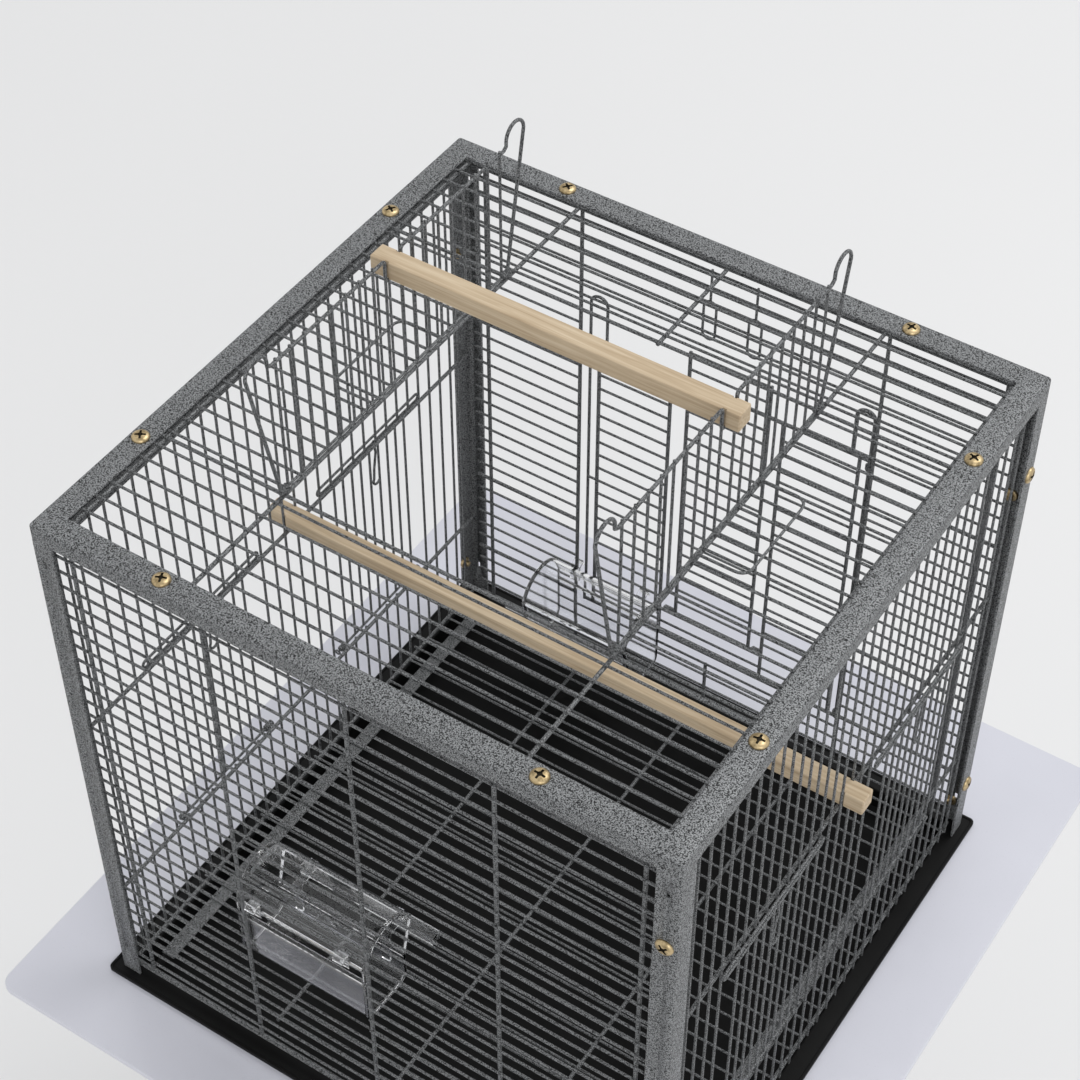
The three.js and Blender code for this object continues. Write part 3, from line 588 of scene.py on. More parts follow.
# %% Posts
SLOT_LEVELS = (435.7, 30)
SLOT_HALF = np.array((1.2, 3, 3.5))


def cut(made, parts, base=CAGE_BASE):
    """Takes the parts' shape out of an object for good."""
    cutter = new_object("cutter", mesh_of("cutter", parts, base))
    carve = made.modifiers.new("carve", "BOOLEAN")
    carve.object, carve.operation, carve.solver = cutter, "DIFFERENCE", "EXACT"
    bpy.context.view_layer.update()
    result = bpy.data.meshes.new_from_object(made.evaluated_get(bpy.context.evaluated_depsgraph_get()))
    made.modifiers.clear()
    made.data = result
    bpy.data.objects.remove(cutter)


def post(name, sx, sy):
    outline = [(0, LEG), (0, 1.8), (0.25, 0.9), (0.9, 0.25), (1.8, 0), (LEG, 0), (LEG, SHEET)]
    outline += [(SHEET + 0.5, SHEET), (SHEET, SHEET + 0.5), (SHEET, LEG)]
    loop = np.array([(sx * (HALF_X - x), sy * (HALF_Y - y), 0) for x, y in outline])
    if sx * sy < 0:
        loop = loop[::-1]
    part = bridge([loop, loop + (0, 0, TOP - DROP)], caps=True)
    made = piece(f"angle_{name}", [part], frame_enamel, "cage", [name], smooth=50)
    middles = [np.array((sx * (HALF_X - LEG / 2), sy * HALF_Y, z)) for z in SLOT_LEVELS]
    cut(made, [slab(middle - SLOT_HALF, middle + SLOT_HALF, 0.6) for middle in middles])


CORNERS = {"front_left": (-1, -1), "front_right": (1, -1), "back_right": (1, 1), "back_left": (-1, 1)}
for corner, (sx, sy) in CORNERS.items():
    post(f"post_{corner}", sx, sy)

# %% [markdown]
# The screws are pan heads with a cross recess. One head is turned on a lathe profile and cut, and all
# sixteen share its mesh, so the cuts are worked out once. Faces inside the recess take a near-black
# colour, painted shade for the depth of the cross, and each head is turned a little more than the one
# before, as hands leave them.

# %% Screw head
RECESS_REACH = 4
HEAD_SEAT = 0.0027  # metres from the head's seat to the outside of its CAD screw
head_profile = [(0.3, -1.0), (5.4, -1.0), (5.9, -0.7), (6.0, 0.3), (5.8, 1.1), (5.0, 2.0)]
head_profile += [(3.6, 2.55), (1.8, 2.75), (0.3, 2.8)]
head = new_object("head", mesh_of("pan_head", [lathe(head_profile, 40)], OWN_BASE))
for half_x, half_y, low_z in ((3.7, 0.75, 1.1), (0.75, 3.7, 1.1), (1.3, 1.3, 0.9)):
    cut(head, [slab((-half_x, -half_y, low_z), (half_x, half_y, 4), 0.3)], OWN_BASE)
head_mesh = head.data
bpy.data.objects.remove(head)
head_mesh.materials.append(screw_brass)
head_mesh.materials.append(recess_painted_shade)
# Faces deep in the cross recess take the painted shade in slot 1; the rest of the head stays brass.
for face in head_mesh.polygons:
    spot = face.center * 1000
    inside = math.hypot(spot.x, spot.y) < RECESS_REACH and spot.z > 0
    face.material_index = int(inside and (face.normal.z < 0.7 or spot.z < 1.5))
head_mesh.shade_smooth()
head_mesh.set_sharp_from_angle(angle=math.radians(35))
print("screw head", len(head_mesh.polygons), "faces")

# %% Sixteen screws
FIRST_TURN, NEXT_TURN = 0.4, 1.1
screws = [n for n in sorted(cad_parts) if n.startswith("screw_")]
for count, node in enumerate(screws):
    low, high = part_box(node)
    size, middle = high - low, (low + high) / 2
    axis = min(range(3), key=lambda i: size[i])
    outward = Vector((0, 0, 0))
    outward[axis] = 1 if axis == 2 or middle[axis] > 0 else -1
    made = new_object("pan_head_" + node.removeprefix("screw_"), head_mesh)
    made.location = middle + outward * (size[axis] / 2 - HEAD_SEAT)
    turn = Matrix.Rotation(FIRST_TURN + NEXT_TURN * count, 4, "Z")
    made.rotation_euler = (outward.to_track_quat("Z", "Y").to_matrix().to_4x4() @ turn).to_euler()
    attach(made, "cage")
    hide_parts(node)
print(len(screws), "screws")

# %% [markdown]
# The screws pass right through the back posts, and their ends show inside the cage with a washer. They
# are small turned parts, laid on their side with a matrix.

# %% Screw ends that come through the back posts
TO_FRONT = [[1, 0, 0], [0, 0, -1], [0, 1, 0]]
TO_RIGHT = [[0, 0, 1], [0, 1, 0], [-1, 0, 0]]
tip_profile = [(0.3, -0.5), (4.6, -0.5), (4.9, 0), (4.9, 1.6), (4.4, 2), (2.4, 2), (2.4, 4.6)]
tip_profile += [(2.1, 5), (0.3, 5)]
tip_seat = SHEET + 0.3
tip = lathe(tip_profile, 12)
tips = [moved(tip, (218.5, HALF_Y - tip_seat, z), TO_FRONT) for z in (357.9, 24.6)]
tips += [moved(tip, (tip_seat - HALF_X, HALF_Y - 14, z), TO_RIGHT) for z in (371, 40.5)]
piece("screw_ends", tips, screw_brass, "cage")

# %% [markdown]
# ## Wire panels
# A panel is thin wires welded across thicker rods. A flat sheet with a pattern of holes would look
# wrong from the side, so every wire is a real tube. The thin wires lie on the rods and sink a little
# into them at each weld, so the two sets are in slightly different planes.

# %% Panel helpers
def climb(low, high):
    """Levels of wire from low to high, one pitch apart."""
    count = round((high - low) / PITCH) - 1
    return [low] + [low + (i + 1) * PITCH for i in range(count)] + [high]


def spread(limit, offset=PITCH / 2):
    """Places of wire one pitch apart on both sides of the middle."""
    first = math.ceil((-limit - offset) / PITCH)
    places = []
    while offset + first * PITCH <= limit:
        places.append(offset + first * PITCH)
        first += 1
    return places


def line_x(y, z, x0, x1, radius=WIRE):
    return wire([(x0, y, z), (x1, y, z)], radius)


def line_y(x, z, y0, y1, radius=WIRE):
    return wire([(x, y0, z), (x, y1, z)], radius)


def line_z(x, y, z0, z1, radius=WIRE):
    return wire([(x, y, z0), (x, y, z1)], radius)


def loop_arc(cx, cy, radius, start, end, steps=10):
    """Points of an arc in the plane, with its angles in degrees."""
    angles = [math.radians(start + (end - start) * i / steps) for i in range(steps + 1)]
    return [(cx + radius * math.cos(a), cy + radius * math.sin(a)) for a in angles]


def wire_piece(name, parts, body, nodes):
    piece(name, parts, wire_enamel, body, nodes)


LEVELS = climb(CURB, WALL_TOP)
BEHIND_POST = HALF_X - 12.5  # the level wires end behind the posts
ROD_END = BEHIND_POST + 3.5
OVERLAP = 3  # uprights run on this far past their last rod
WELD = 1.8  # from the middle of a rod to that of a wire welded on it
print(len(LEVELS), "levels of wire in the front panel")

# %% [markdown]
# The front has level wires on five uprights. Behind the seed cup the wires are left out of the left
# half, between two levels, so that a hand can fill the cup.

# %% Front panel
FRONT_ROD, WINDOW_LOW, WINDOW_HIGH = 104, 95, 180
front_y = -WALL_Y
parts = []
for x in (-BORDER_X, -FRONT_ROD, 0, FRONT_ROD, BORDER_X):
    parts.append(line_z(x, front_y, CURB - OVERLAP, WALL_TOP + OVERLAP, ROD))
for z in LEVELS:
    y = front_y - WELD
    if WINDOW_LOW <= z <= WINDOW_HIGH:
        parts += [line_x(y, z, -BEHIND_POST, -FRONT_ROD + 1), line_x(y, z, -1, BEHIND_POST)]
    else:
        parts.append(line_x(y, z, -BEHIND_POST, BEHIND_POST))
for z in (CURB, WALL_TOP):
    parts.append(line_x(front_y, z, -ROD_END, ROD_END, ROD))
wire_piece("front_panel", parts, "cage", ["wall_front"])

# %% [markdown]
# The sides have upright wires and level rods. Each side has two doorways, where the wires stop at the
# sill and start again at the top, and pairs of small eyes on the sill carry the door pins.

# %% Side panels
DOOR_SILL, DOOR_HEIGHT, DOOR_NEAR, DOOR_FAR = 93, 179.5, 45, 150
SILL_EYES = (-147, -44.1, 44.1, 147)
EYE_HALF_GAP, EYE_RADIUS, EYE_WIRE = 2, 1.9, 0.8


def side_panel(name, node, side):
    x = side * WALL_X
    inner = x - side * 1.9
    lintel = DOOR_SILL + DOOR_HEIGHT
    parts = []
    for y in [-BORDER_Y, *spread(BORDER_Y - 2), BORDER_Y]:
        if DOOR_NEAR < abs(y) < DOOR_FAR:
            parts.append(line_z(x, y, CURB - OVERLAP, DOOR_SILL + 1))
            parts.append(line_z(x, y, lintel - 1, WALL_TOP + OVERLAP))
        else:
            parts.append(line_z(x, y, CURB - OVERLAP, WALL_TOP + OVERLAP))
    end = HALF_Y - 9.5
    for z in (CURB, DOOR_SILL, lintel, WALL_TOP - 8, WALL_TOP):
        parts.append(line_y(inner, z, -end, end, ROD))
    for y in SILL_EYES:
        for s in (-EYE_HALF_GAP, EYE_HALF_GAP):
            pin = (x + side * HINGE_OFF, y + s, DOOR_SILL)
            parts.append(eye(pin, 1, EYE_RADIUS, EYE_WIRE))
    wire_piece(name, parts, "cage", [node])


side_panel("left_panel", "wall_left", -1)
side_panel("right_panel", "wall_right", 1)

# %% [markdown]
# A side door is nine bars on a pin at the sill. A long closed loop across their tops stops it against
# the panel, and a hook bent from one wire holds it shut. Bends are rounded by a curve between the two
# straight runs, because a sharp corner in wire looks broken.

# %% Side doors
DOOR_BARS, BAR_INSET, LOOP_RADIUS = 9, 9, 3


def side_door(name, node, side, half):
    x = side * (WALL_X + HINGE_OFF)
    near, far = sorted((half * DOOR_NEAR, half * DOOR_FAR))
    middle, top = (near + far) / 2, DOOR_SILL + DOOR_HEIGHT
    step = (far - near - 2 * BAR_INSET) / (DOOR_BARS - 1)
    bars = [near + BAR_INSET + i * step for i in range(DOOR_BARS)]
    parts = [line_y(x, DOOR_SILL, near - 1, far + 1)]
    parts += [line_z(x, y, DOOR_SILL, top - 2) for y in bars]
    reach = (far - near) / 2 + 7
    loop = loop_arc(reach, 0, LOOP_RADIUS, -90, 90) + loop_arc(-reach, 0, LOOP_RADIUS, 90, 270)
    parts.append(wire([(x, middle + u, top + v) for u, v in loop], closed=True))
    at = middle + step / 2
    shank = [(at, -1), (at + 2, -14), (at - 1, -30)]
    curl = loop_arc(at + 1.5, -42, 4.2, 140, 330, 8)
    out = x - side * 0.3
    shank, curl = ([(out, y, top + v) for y, v in run] for run in (shank, curl))
    parts.append(wire(bend(shank, 5) + curl))
    for y, inward in ((near, 1), (far, -1)):
        turns = coil((x, y, DOOR_SILL), (0, inward, 0), EYE_RADIUS, turns=3, lead=1.7)
        parts.append(wire(turns, EYE_WIRE))
    wire_piece(name, parts, node, [node])


for side_name, side in (("left", -1), ("right", 1)):
    for end_name, half in (("front", -1), ("back", 1)):
        side_door(f"cup_door_{side_name}_{end_name}", f"door_{side_name}_{end_name}", side, half)

# %% [markdown]
# The back has a doorway nearly as wide as the cage. Its wires are short between the borders and the
# doorway, and two links with a latch wire under the roof hold the large door.

# %% Back panel
back_y = WALL_Y
HINGE_X, SEAM_X, DOORWAY_LOW, DOORWAY_HIGH = 118.3, -122, 52, 370
THICK_LEVELS = (61.8, 144, 308.3)
LINK_X, LINK_RADIUS, LINK_LOW, LINK_HIGH, LATCH_TOP = 18, 5, 388, 412, 446
EDGE_X, PIN_LEVELS = 115, (61.5, 328)  # the large door's pin, and where eyes hold it
parts = []
for x in (-BORDER_X, SEAM_X, HINGE_X, BORDER_X):
    parts.append(line_z(x, back_y, CURB - OVERLAP, WALL_TOP + OVERLAP, ROD))
for z in LEVELS:
    if DOORWAY_LOW <= z <= DOORWAY_HIGH:
        thick = ROD if any(abs(z - level) < 1 for level in THICK_LEVELS) else WIRE
        parts.append(line_x(back_y, z, -BEHIND_POST, SEAM_X, thick))
        parts.append(line_x(back_y, z, HINGE_X, BEHIND_POST, thick))
    else:
        parts.append(line_x(back_y, z, -BEHIND_POST, BEHIND_POST))
parts.append(line_z(0, back_y, CURB, DOORWAY_LOW - 3, ROD))
for x in (-LINK_X, LINK_X):
    link = loop_arc(x, LINK_HIGH, LINK_RADIUS, 0, 180) + loop_arc(x, LINK_LOW, LINK_RADIUS, 180, 360)
    parts.append(wire([(px, back_y + 2, pz) for px, pz in link], closed=True))
    parts.append(line_z(x, back_y + 2, LINK_HIGH + LINK_RADIUS, LATCH_TOP))
for z in PIN_LEVELS:
    for step in (-1.6, 0, 1.6):
        parts.append(eye((EDGE_X, back_y + HINGE_OFF, z + step), 2, radius=2.4, thick=0.9))
wire_piece("back_panel", parts, "cage", ["wall_back"])

# %% [markdown]
# The large door is level wires on four rods, with a hooped rod at each edge: one is the hinge pin and
# the other is the latch. Its middle is open and carries the small door.

# %% Large back door
door_y = WALL_Y + HINGE_OFF
BIG_LOW, BIG_HIGH, BIG_RUNG = 55, 378, 334
OUTER_ROD, INNER_ROD, SMALL_SILL, HOOP = 107, 46, 84, 7
big_rungs = climb(BIG_LOW + 2, BIG_RUNG)
last = len(big_rungs) - 1
parts = []
for i, z in enumerate(big_rungs):
    edge = EDGE_X if i in (0, last, (last + 1) // 2) else OUTER_ROD
    if i in (0, last) or z < SMALL_SILL:
        parts.append(line_x(door_y, z, -edge, edge, ROD if i in (0, last) else WIRE))
    else:
        parts += [line_x(door_y, z, -edge, -INNER_ROD + 1), line_x(door_y, z, INNER_ROD - 1, edge)]
parts.append(line_x(door_y, SMALL_SILL, -OUTER_ROD, OUTER_ROD))
for x in (-OUTER_ROD, -INNER_ROD, INNER_ROD, OUTER_ROD):
    parts.append(line_z(x, door_y, BIG_LOW + 2, BIG_RUNG, ROD))
for x, s, start, end, thick in ((EDGE_X, -1, 0, 180, 1.6), (-EDGE_X, 1, 180, 0, 1.2)):
    hoop = loop_arc(x + s * HOOP, BIG_HIGH - HOOP, HOOP, start, end, 14)
    path = [(x, BIG_LOW), *hoop, (x + s * 2 * HOOP, BIG_RUNG - 1)]
    parts.append(wire([(px, door_y, pz) for px, pz in path], thick, 10))
wire_piece("nest_door_large", parts, "door_back_large", ["door_back_large"])

# %% [markdown]
# The small door hangs on the large one. Its pin is held by a coil at each end, which is a helix drawn
# round the pin: turned wire shows its turns even when it is only a few millimetres wide.

# %% Small back door
small_y = WALL_Y + 2 * HINGE_OFF
PIN_X, SMALL_ROD, SMALL_TOP, SMALL_EYE = 43, 33, 361, 39.5
parts = [line_x(small_y, SMALL_SILL, -PIN_X, PIN_X)]
parts += [line_z(x, small_y, SMALL_SILL, SMALL_TOP, ROD) for x in (-SMALL_ROD, SMALL_ROD)]
for z in climb(SMALL_SILL + 0.5, SMALL_TOP - 1):
    parts.append(line_x(small_y - 0.6, z, -SMALL_ROD - 1, SMALL_ROD + 1))
for s in (-1, 1):
    turns = coil((s * PIN_X, small_y, SMALL_SILL), (-s, 0, 0), radius=2.2, turns=4, lead=1.8)
    parts.append(wire(turns, EYE_WIRE))
    parts.append(eye((s * SMALL_EYE, small_y, SMALL_SILL), 0, radius=2, thick=0.7))
wire_piece("nest_door_small", parts, "door_back_small", ["door_back_small"])

# %% [markdown]
# ## Roof
# The roof is a panel with a square opening. The wires stop at its sides, a small wire bow lies on the
# roof beside each, and coils on the rods carry the pins of the two flaps.

# %% Roof panel
ROOF_END, ROOF_BORDER_X, ROOF_BORDER_Y = HALF_X - 13.5, 210.5, 212
BOW_X, BOW_FRONT, BOW_BACK = 152.5, -28, 47
rod_z = ROOF_Z - 1.9
rod_end = ROOF_BORDER_Y + 2
parts = []
for y in [-ROOF_BORDER_Y, *spread(BORDER_Y - 2), ROOF_BORDER_Y]:
    if abs(y) > OPEN_Y + 1:
        parts.append(line_x(y, ROOF_Z, -ROOF_END, ROOF_END))
    else:
        parts += [line_x(y, ROOF_Z, -ROOF_END, -OPEN_X), line_x(y, ROOF_Z, OPEN_X, ROOF_END)]
for y in (-OPEN_Y, OPEN_Y):
    parts.append(line_x(y, ROOF_Z, -ROOF_END, ROOF_END, 1.3))
for x in (-ROOF_BORDER_X, -OPEN_X, OPEN_X, ROOF_BORDER_X):
    parts.append(line_y(x, rod_z, -rod_end, rod_end, ROD))
parts.append(line_y(0, rod_z, OPEN_Y - 1, rod_end, ROD))
for s in (-1, 1):
    bow = [(OPEN_X, BOW_FRONT), (BOW_X, BOW_FRONT), (BOW_X, BOW_BACK), (OPEN_X, BOW_BACK)]
    parts.append(wire(bend([(s * x, y, ROOF_Z + 1.7) for x, y in bow], 9)))
    for y in (-OPEN_Y + 2.5, OPEN_Y - 2.5):
        start = (s * OPEN_X, y - 2, ROOF_Z + HINGE_OFF)
        parts.append(wire(coil(start, (0, 1, 0), radius=2.1, turns=3, lead=1.7), EYE_WIRE))
wire_piece("roof_wires", parts, "cage", ["roof_panel"])

# %% [markdown]
# Both flaps stand open with the upper perch across them. One wire runs up each end of a flap, curls
# over at the top and dips under the perch in the middle, so it is drawn as one path from pin to pin.

# %% Roof flaps
FLAP_RISE, PIN_END, SADDLE, CURL = 101.7, 124.3, 8.3, 10


def roof_flap(name, node, side):
    x, base = side * OPEN_X, ROOF_Z + HINGE_OFF
    top = base + FLAP_RISE
    saddle_z = box_mm("perch_roof")[0].z - FLOOR - 1.3
    parts = [line_y(x, base, -PIN_END, PIN_END)]
    parts += [line_z(x, y, base, top + 3) for y in spread(OPEN_Y - 5) if abs(y) > SADDLE]
    curl_y, curl_z = OPEN_Y + 12, FLAP_RISE + 5
    half_dip = [(curl_y - CURL, top + 2), (curl_y - 13, top), (SADDLE, top), (SADDLE, saddle_z)]
    dip = [(-y, z) for y, z in half_dip] + half_dip[::-1]
    path = [(x, -PIN_END + 1, base)]
    path += [(x, -y, base + z) for y, z in loop_arc(curl_y, curl_z, CURL, 0, 180, 14)]
    path += bend([(x, y, z) for y, z in dip], 3)
    path += [(x, y, base + z) for y, z in loop_arc(curl_y, curl_z, CURL, 180, 0, 14)]
    path.append((x, PIN_END - 1, base))
    parts.append(wire(path, 1.25, 10))
    parts += [line_z(x, s * SADDLE, base, saddle_z + 1) for s in (-1, 1)]
    for s in (-1, 1):
        start = (x, s * (PIN_END + 0.6), base)
        parts.append(wire(coil(start, (0, -s, 0), EYE_RADIUS, turns=2.5, lead=1.6), EYE_WIRE))
    wire_piece(name, parts, node, [node])


roof_flap("flap_left", "roof_flap_left", -1)
roof_flap("flap_right", "roof_flap_right", 1)

# %% [markdown]
# ## Perches
# Each perch is a square bar of bare softwood with a saw cut in its sides where it sits between two
# wires. It is lofted along its length, and the section narrows at each cut. That gives clean edges
# for the grain to run into, where a boolean would leave thin faces.

# %% Perch bars
BREAK, CUT_HALF, CUT_SECTION = 0.7, 1.4, 5.5  # broken edge, half width of a cut, section left in it


def perch_bar(name, node, cuts):
    low, high = (corner - CAGE_BASE for corner in box_mm(node))
    half = (high.z - low.z) / 2
    small = half - BREAK
    rows = [(small, small, 0.5, low.x), (half, half, 0.9, low.x + BREAK)]
    for x in cuts:
        before, after = x - CUT_HALF, x + CUT_HALF
        rows += [(half, half, 0.9, before), (CUT_SECTION, half, 0.4, before)]
        rows += [(CUT_SECTION, half, 0.4, after), (half, half, 0.9, after)]
    rows += [(half, half, 0.9, high.x - BREAK), (small, small, 0.5, high.x)]
    points, faces = loft(rows)
    turned = points[:, [2, 0, 1]] + (0, 0, (low.z + high.z) / 2)
    piece(name, [(turned, faces)], perch_timber, node, [node], smooth=35)


perch_bar("timber_perch_upper", "perch_roof", (-OPEN_X, OPEN_X))
perch_bar("timber_perch_lower", "perch_low", (-WALL_X, WALL_X))

# %% [markdown]
# ## Tray and floor grate
# The tray is one moulding: pan, rim and a small raised bead round the rim. It is one loft that goes up
# the outside, over the rim and down the inside, so its wall has a true thickness everywhere.

# %% Tray
RIM_WIDTH, RIM_LOW, RIM_TOP = 12.8, -2.7, -0.3
tray_low, tray_high = box_mm("tray")
out_x, out_y = tray_high.x, tray_high.y - SHIFT_Y
pan_x, pan_y = out_x - RIM_WIDTH, out_y - RIM_WIDTH
pan_low = tray_low.z - FLOOR
pan_outside = [(6, 6, pan_low), (1, 7, pan_low + 2), (0, 7, RIM_LOW)]
rim = [(0.6, 3.4, RIM_LOW), (0, 4, -2.2), (0, 4, 0.2)]
rim += [(0.5, 3.5, 0.6), (1.8, 2.6, 0.6), (2.4, 2.2, RIM_TOP)]
pan_inside = [(2.0, 6, RIM_TOP), (2.8, 6, -1.2), (3.2, 6, pan_low + 5), (8, 6, pan_low + 2.5)]
tray_rows = [(pan_x - inset, pan_y - inset, radius, z) for inset, radius, z in pan_outside]
tray_rows += [(out_x - inset, out_y - inset, radius, z) for inset, radius, z in rim]
tray_rows += [(pan_x - inset, pan_y - inset, radius, z) for inset, radius, z in pan_inside]
piece("litter_tray", [loft(tray_rows)], tray_black, "stand", ["tray"], smooth=30)

# %% [markdown]
# The grate over the tray is wires on two flat straps and three rods. Every fifth wire is longer: it
# reaches through the walls and carries the grate.

# %% Grate
grate_low, grate_high = box_mm("floor_grate")
grate_z = (grate_low.z + grate_high.z) / 2 - FLOOR
STRAP_X, STRAP_HALF, GRATE_ROD = WALL_X - 21, 5.5, 101
runs = spread(BORDER_Y - 2, 0)
first_y, last_y = runs[0] - OVERLAP, runs[-1] + OVERLAP
parts = []
for i, y in enumerate(runs):
    end = WALL_X + 1 if i % 5 == 0 else WALL_X - 4
    parts.append(line_x(y, grate_z + 0.2, -end, end))
for x in (-STRAP_X, STRAP_X):
    strap_low = (x - STRAP_HALF, first_y, grate_z - 1.9)
    parts.append(slab(strap_low, (x + STRAP_HALF, last_y, grate_z - 0.4), 0.4))
parts += [line_y(x, grate_z - 1.7, first_y, last_y, ROD) for x in (-GRATE_ROD, 0, GRATE_ROD)]
wire_piece("grate_wires", parts, "floor_grate", ["floor_grate"])

# %% [markdown]
# ## Seed cups
# A cup is a clear trough with a hood over it, open on the bird's side. Clear plastic shows by its
# edges, so the edges carry a thick rounded bead, and a hollow square bar is held in two cradles.
# Sheets are drawn as a line in section, given a thickness and pulled across the cup.

# %% Cup helpers
def across(outline, x0, x1):
    """A plate with the (y, z) outline, from x0 to x1."""
    outline = np.array(outline, float)
    ends = [np.column_stack([np.full(len(outline), x), outline]) for x in (x0, x1)]
    return bridge(ends, caps=True)


def ribbon(line, thick, x0, x1):
    """A strip of sheet whose section follows the (y, z) line, from x0 to x1."""
    path = np.array(line, float)
    step = unit(np.diff(path, axis=0))
    along = unit(np.vstack([step[:1], step]) + np.vstack([step, step[-1:]]))
    side = np.stack([-along[:, 1], along[:, 0]], 1) * thick / 2
    return across(np.vstack([path + side, (path - side)[::-1]]), x0, x1)


# %% Cup section, in (y, z) from the wires and from the cup's foot
CUP_BACK, CUP_FRONT, BACK_TOP, LIP, HOOD_LOW = 2.8, 44.8, 44, 26.4, 58
CUP_SHEET, BEAD, BOTTOM_RADIUS, HOOD_RADIUS = 2, 1.7, 7, 26
TROUGH = [(CUP_BACK, BACK_TOP)]
TROUGH += loop_arc(CUP_BACK + BOTTOM_RADIUS, BOTTOM_RADIUS, BOTTOM_RADIUS, 180, 270, 5)
TROUGH += loop_arc(CUP_FRONT - BOTTOM_RADIUS, BOTTOM_RADIUS, BOTTOM_RADIUS, 270, 360, 5)
TROUGH += [(CUP_FRONT, LIP)]
HOOD = [(CUP_BACK, HOOD_LOW)] + loop_arc(CUP_BACK + HOOD_RADIUS, 53, HOOD_RADIUS, 165, 15, 12)
CUP_HOOK = [(CUP_BACK, 52), (CUP_BACK, 66), (-2.6, 69), (-4, 64)]
CRADLE = [(CUP_FRONT - 1, 37.5), (51.5, 37.5), (65, 37.5), (65, 43)]
CRADLE_LEG = [(CUP_FRONT - 0.5, 8), (CUP_FRONT + 3, 8), (CUP_FRONT + 3, 38), (CUP_FRONT - 0.5, 38)]
BAR_OUTSIDE, BAR_INSIDE = (4.5, 4.5, 1.6), (3.1, 3.1, 0.8)
HOOK_INSET, HOOK_HALF, CRADLE_WIDTH = 17, 4, 6
TAB_X, TAB_Z, TAB_PROUD = (24, 50), (10, 24), 2.2  # a finger tab on the front
RAIL_INSET, RAIL_Z, RAIL_PROUD = 8, (2.5, 6), 1.8  # a rail along its foot
print("cup section of", len(TROUGH + HOOD), "points")


# %% Seed cups
def clear_piece(name, parts, body, node):
    piece(name, parts, feeder_clear, body, [node], smooth=30)


def cup_bar(name, node):
    """The hollow square bar that the bird stands on to eat."""
    low, high = (corner - CAGE_BASE for corner in box_mm(node + "_bar"))
    length = high.x - low.x
    rows = [(*BAR_OUTSIDE, 0), (*BAR_OUTSIDE, length), (*BAR_INSIDE, length), (*BAR_INSIDE, 0)]
    points, faces = loft(rows, wrap=True)
    points = points[:, [2, 0, 1]] + (low.x, (low.y + high.y) / 2, (low.z + high.z) / 2)
    clear_piece(name + "_bar", [(points, faces)], node, node + "_bar")


def seed_cup(name, node, width, place, turned):
    half = width / 2
    cheek = TROUGH + HOOD[::-1]
    parts = [ribbon(TROUGH, CUP_SHEET, -half, half), ribbon(HOOD, CUP_SHEET, -half, half)]
    for x in (-half, half - CUP_SHEET):
        parts.append(across(cheek, x, x + CUP_SHEET))
        parts.append(wire([(x + CUP_SHEET / 2, y, z) for y, z in cheek], BEAD, closed=True))
    for y, z in (TROUGH[0], HOOD[0], TROUGH[-1], HOOD[-1]):
        parts.append(line_x(y, z, -half, half, BEAD))
    for x in (-half + HOOK_INSET, half - HOOK_INSET):
        parts.append(ribbon(CUP_HOOK, 1.6, x - HOOK_HALF, x + HOOK_HALF))
    face, left = CUP_FRONT - 0.5, -half
    tab_end = (left + TAB_X[1], CUP_FRONT + TAB_PROUD, TAB_Z[1])
    rail_end = (half - RAIL_INSET, CUP_FRONT + RAIL_PROUD, RAIL_Z[1])
    parts.append(slab((left + TAB_X[0], face, TAB_Z[0]), tab_end, 0.8))
    parts.append(slab((left + RAIL_INSET, face, RAIL_Z[0]), rail_end, 0.8))
    for x in (left + 14, half - 14 - CRADLE_WIDTH):
        parts.append(ribbon(CRADLE, CUP_SHEET, x, x + CRADLE_WIDTH))
        parts.append(across(CRADLE_LEG, x, x + CRADLE_WIDTH))
    turn = np.diag([-1, -1, 1]) if turned else np.eye(3)
    parts = [moved(part, place, turn) for part in parts]
    clear_piece(name, parts, node, node)
    cup_bar(name, node)


seed_cup("seed_cup_front", "feeder_front", 107, (-58, -WALL_Y, 106), turned=False)
seed_cup("seed_cup_back", "feeder_back", 95, (-91, WALL_Y, 27), turned=True)

# %% [markdown]
# ## Stand
# The deck is a board with a rounded opening that the tray's pan hangs in. A boolean isn't needed for
# it: the loft goes up the outside, over the top, down the opening and back along the underside.

# %% Deck
DECK_CORNER, DECK_EDGE, PAN_ROOM = 12, 0.8, 0.6
low, high = box_mm("stand_deck")
edge = [(DECK_EDGE, low.z), (0, low.z + DECK_EDGE), (0, high.z - DECK_EDGE), (DECK_EDGE, high.z)]
loops = []
for inset, z in edge:
    loops.append(rounded(high.x - inset, high.y - inset, DECK_CORNER - inset, z, 10))
for z in (high.z, low.z):
    loops.append(rounded(pan_x + PAN_ROOM, pan_y + PAN_ROOM, 7, z, 10) + (0, SHIFT_Y, 0))
board = bridge(loops, wrap=True)
piece("deck_board", [board], deck_lavender, "stand", ["stand_deck"], OWN_BASE)

# %% [markdown]
# Under the deck, a square of steel bar stands on two crossed arms. The edges are broken by two
# millimetres, which catches a thin line of light and shows that the steel is solid.

# %% Frame under the deck
def steel_piece(name, parts, nodes):
    piece(name, parts, stand_coat, "stand", nodes, STAND_BASE)


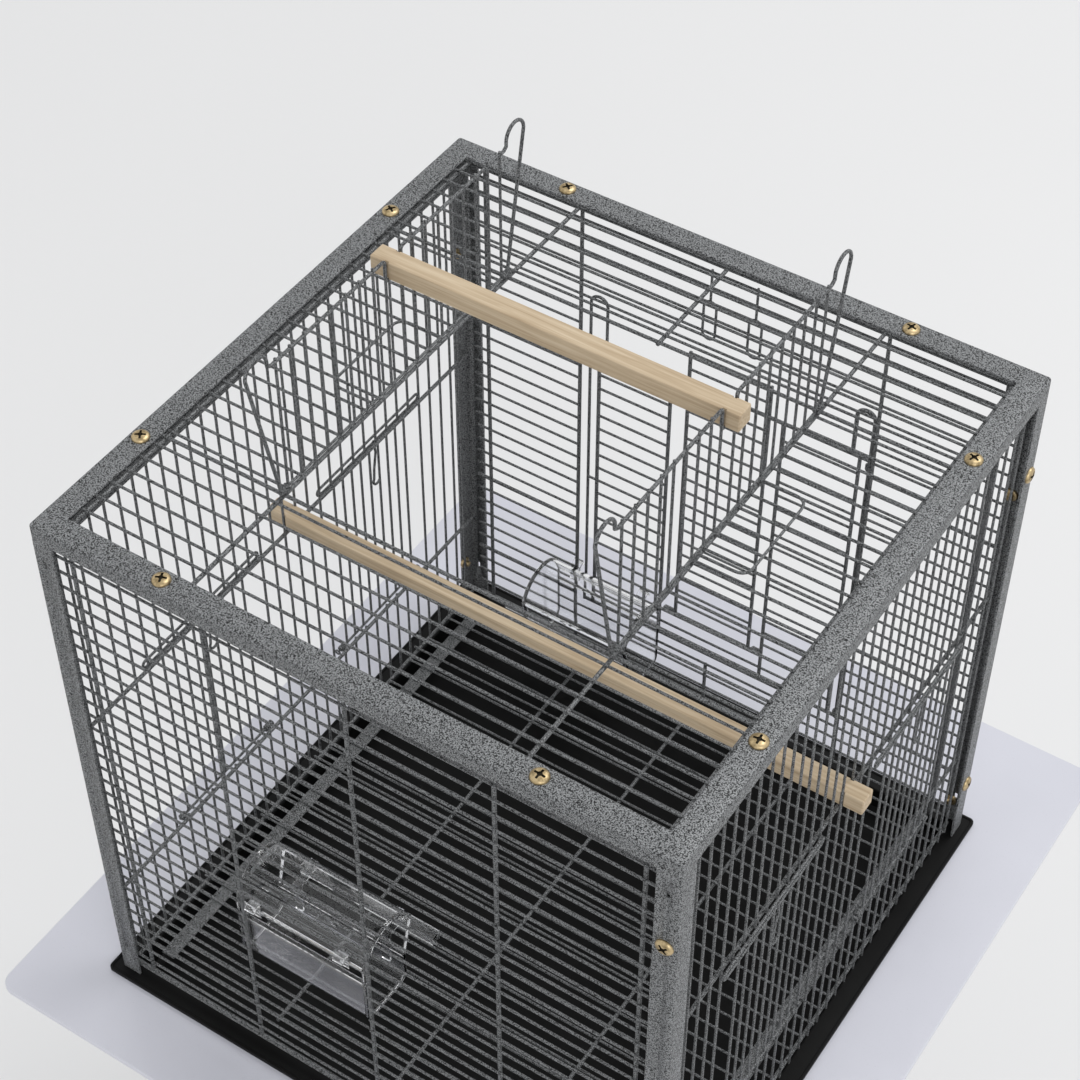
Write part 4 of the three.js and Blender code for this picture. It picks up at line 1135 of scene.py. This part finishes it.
BAR_HEIGHT, BAR_WIDTH, BAR_BREAK, ARM_HALF, ARM_HEIGHT = 32, 18, 2, 15, 13
low, high = box_mm("stand_subframe")
half, bar_low = high.x, high.z - BAR_HEIGHT
outside = [(BAR_BREAK, 2, bar_low), (0, 3, bar_low + 2), (0, 3, high.z - 2), (BAR_BREAK, 2, high.z)]
inside = [(BAR_WIDTH - BAR_BREAK, 3, high.z), (BAR_WIDTH, 1, high.z - 2)]
inside += [(BAR_WIDTH, 1, bar_low + 2), (BAR_WIDTH - BAR_BREAK, 3, bar_low)]
rows = [(half - inset, half - inset, radius, z) for inset, radius, z in outside + inside]
arm_end, arm_high = half - 1, low.z + ARM_HEIGHT
parts = [loft(rows, wrap=True)]
parts.append(slab((-arm_end, -ARM_HALF, low.z), (arm_end, ARM_HALF, arm_high), 1.5))
parts.append(slab((-ARM_HALF, -arm_end, low.z), (ARM_HALF, arm_end, arm_high), 1.5))
steel_piece("deck_frame", parts, ["stand_subframe"])

# %% [markdown]
# The flange and the column are turned, so each is a profile carried round the stand's middle. The
# four hexagon bolts under the flange are lathes of only six sides.

# %% Flange and column
FLANGE_RADIUS, BOLT_CIRCLE, COLUMN_BORE = 70, 52, 27.5
low, high = box_mm("stand_top_flange")
rows = [(2, low.z), (FLANGE_RADIUS - 1, low.z), (FLANGE_RADIUS, low.z + 0.8)]
rows += [(FLANGE_RADIUS, high.z - 0.8), (FLANGE_RADIUS - 1, high.z), (2, high.z)]
parts = [lathe(rows, 64)]
bolt_rows = [(1, low.z - 4.5), (5, low.z - 4.5), (6, low.z - 3.5), (6, low.z), (1, low.z)]
for i in range(4):
    angle = math.radians(45 + 90 * i)
    shift = (BOLT_CIRCLE * math.cos(angle), BOLT_CIRCLE * math.sin(angle), 0)
    parts.append(moved(lathe(bolt_rows, 6), shift))
steel_piece("column_flange", parts, ["stand_top_flange"])

low, high = box_mm("stand_column")
weld = [(35, 0), (36, 1), (34, 3), (30.6, 6), (30, 9)]
rows = [(COLUMN_BORE, low.z)] + [(radius, low.z + up) for radius, up in weld]
rows += [(radius, high.z - down) for radius, down in weld[::-1]] + [(COLUMN_BORE, high.z)]
steel_piece("column", [lathe(rows, 64)], ["stand_column"])

# %% [markdown]
# The base is a heavy plate with wide round corners and a pressed edge, on four turned rubber feet.
# The rounding at its top is made of three sections, so the shader has real edges to light.

# %% Base and feet
BASE_CORNER = 45
low, high = box_mm("stand_base")
half = high.x
edge = [(1.5, low.z), (0, low.z + 1.5), (0, high.z - 2.5), (0.8, high.z - 0.8), (2.5, high.z)]
rows = [(half - inset, half - inset, BASE_CORNER - inset, z) for inset, z in edge]
steel_piece("base_plate", [loft(rows, steps=10)], ["stand_base"])

foot_rows = [(1, 0), (16, 0), (17.5, 0.6), (19.4, 3.4), (20, 5), (20, 11), (19.2, 12), (1, 12)]
for corner in CORNERS:
    low, high = box_mm(f"foot_{corner}")
    foot = moved(lathe(foot_rows, 40), ((low.x + high.x) / 2, (low.y + high.y) / 2, 0))
    nodes = [f"foot_{corner}"]
    piece(f"rubber_{corner}", [foot], foot_rubber, "stand", nodes, STAND_BASE)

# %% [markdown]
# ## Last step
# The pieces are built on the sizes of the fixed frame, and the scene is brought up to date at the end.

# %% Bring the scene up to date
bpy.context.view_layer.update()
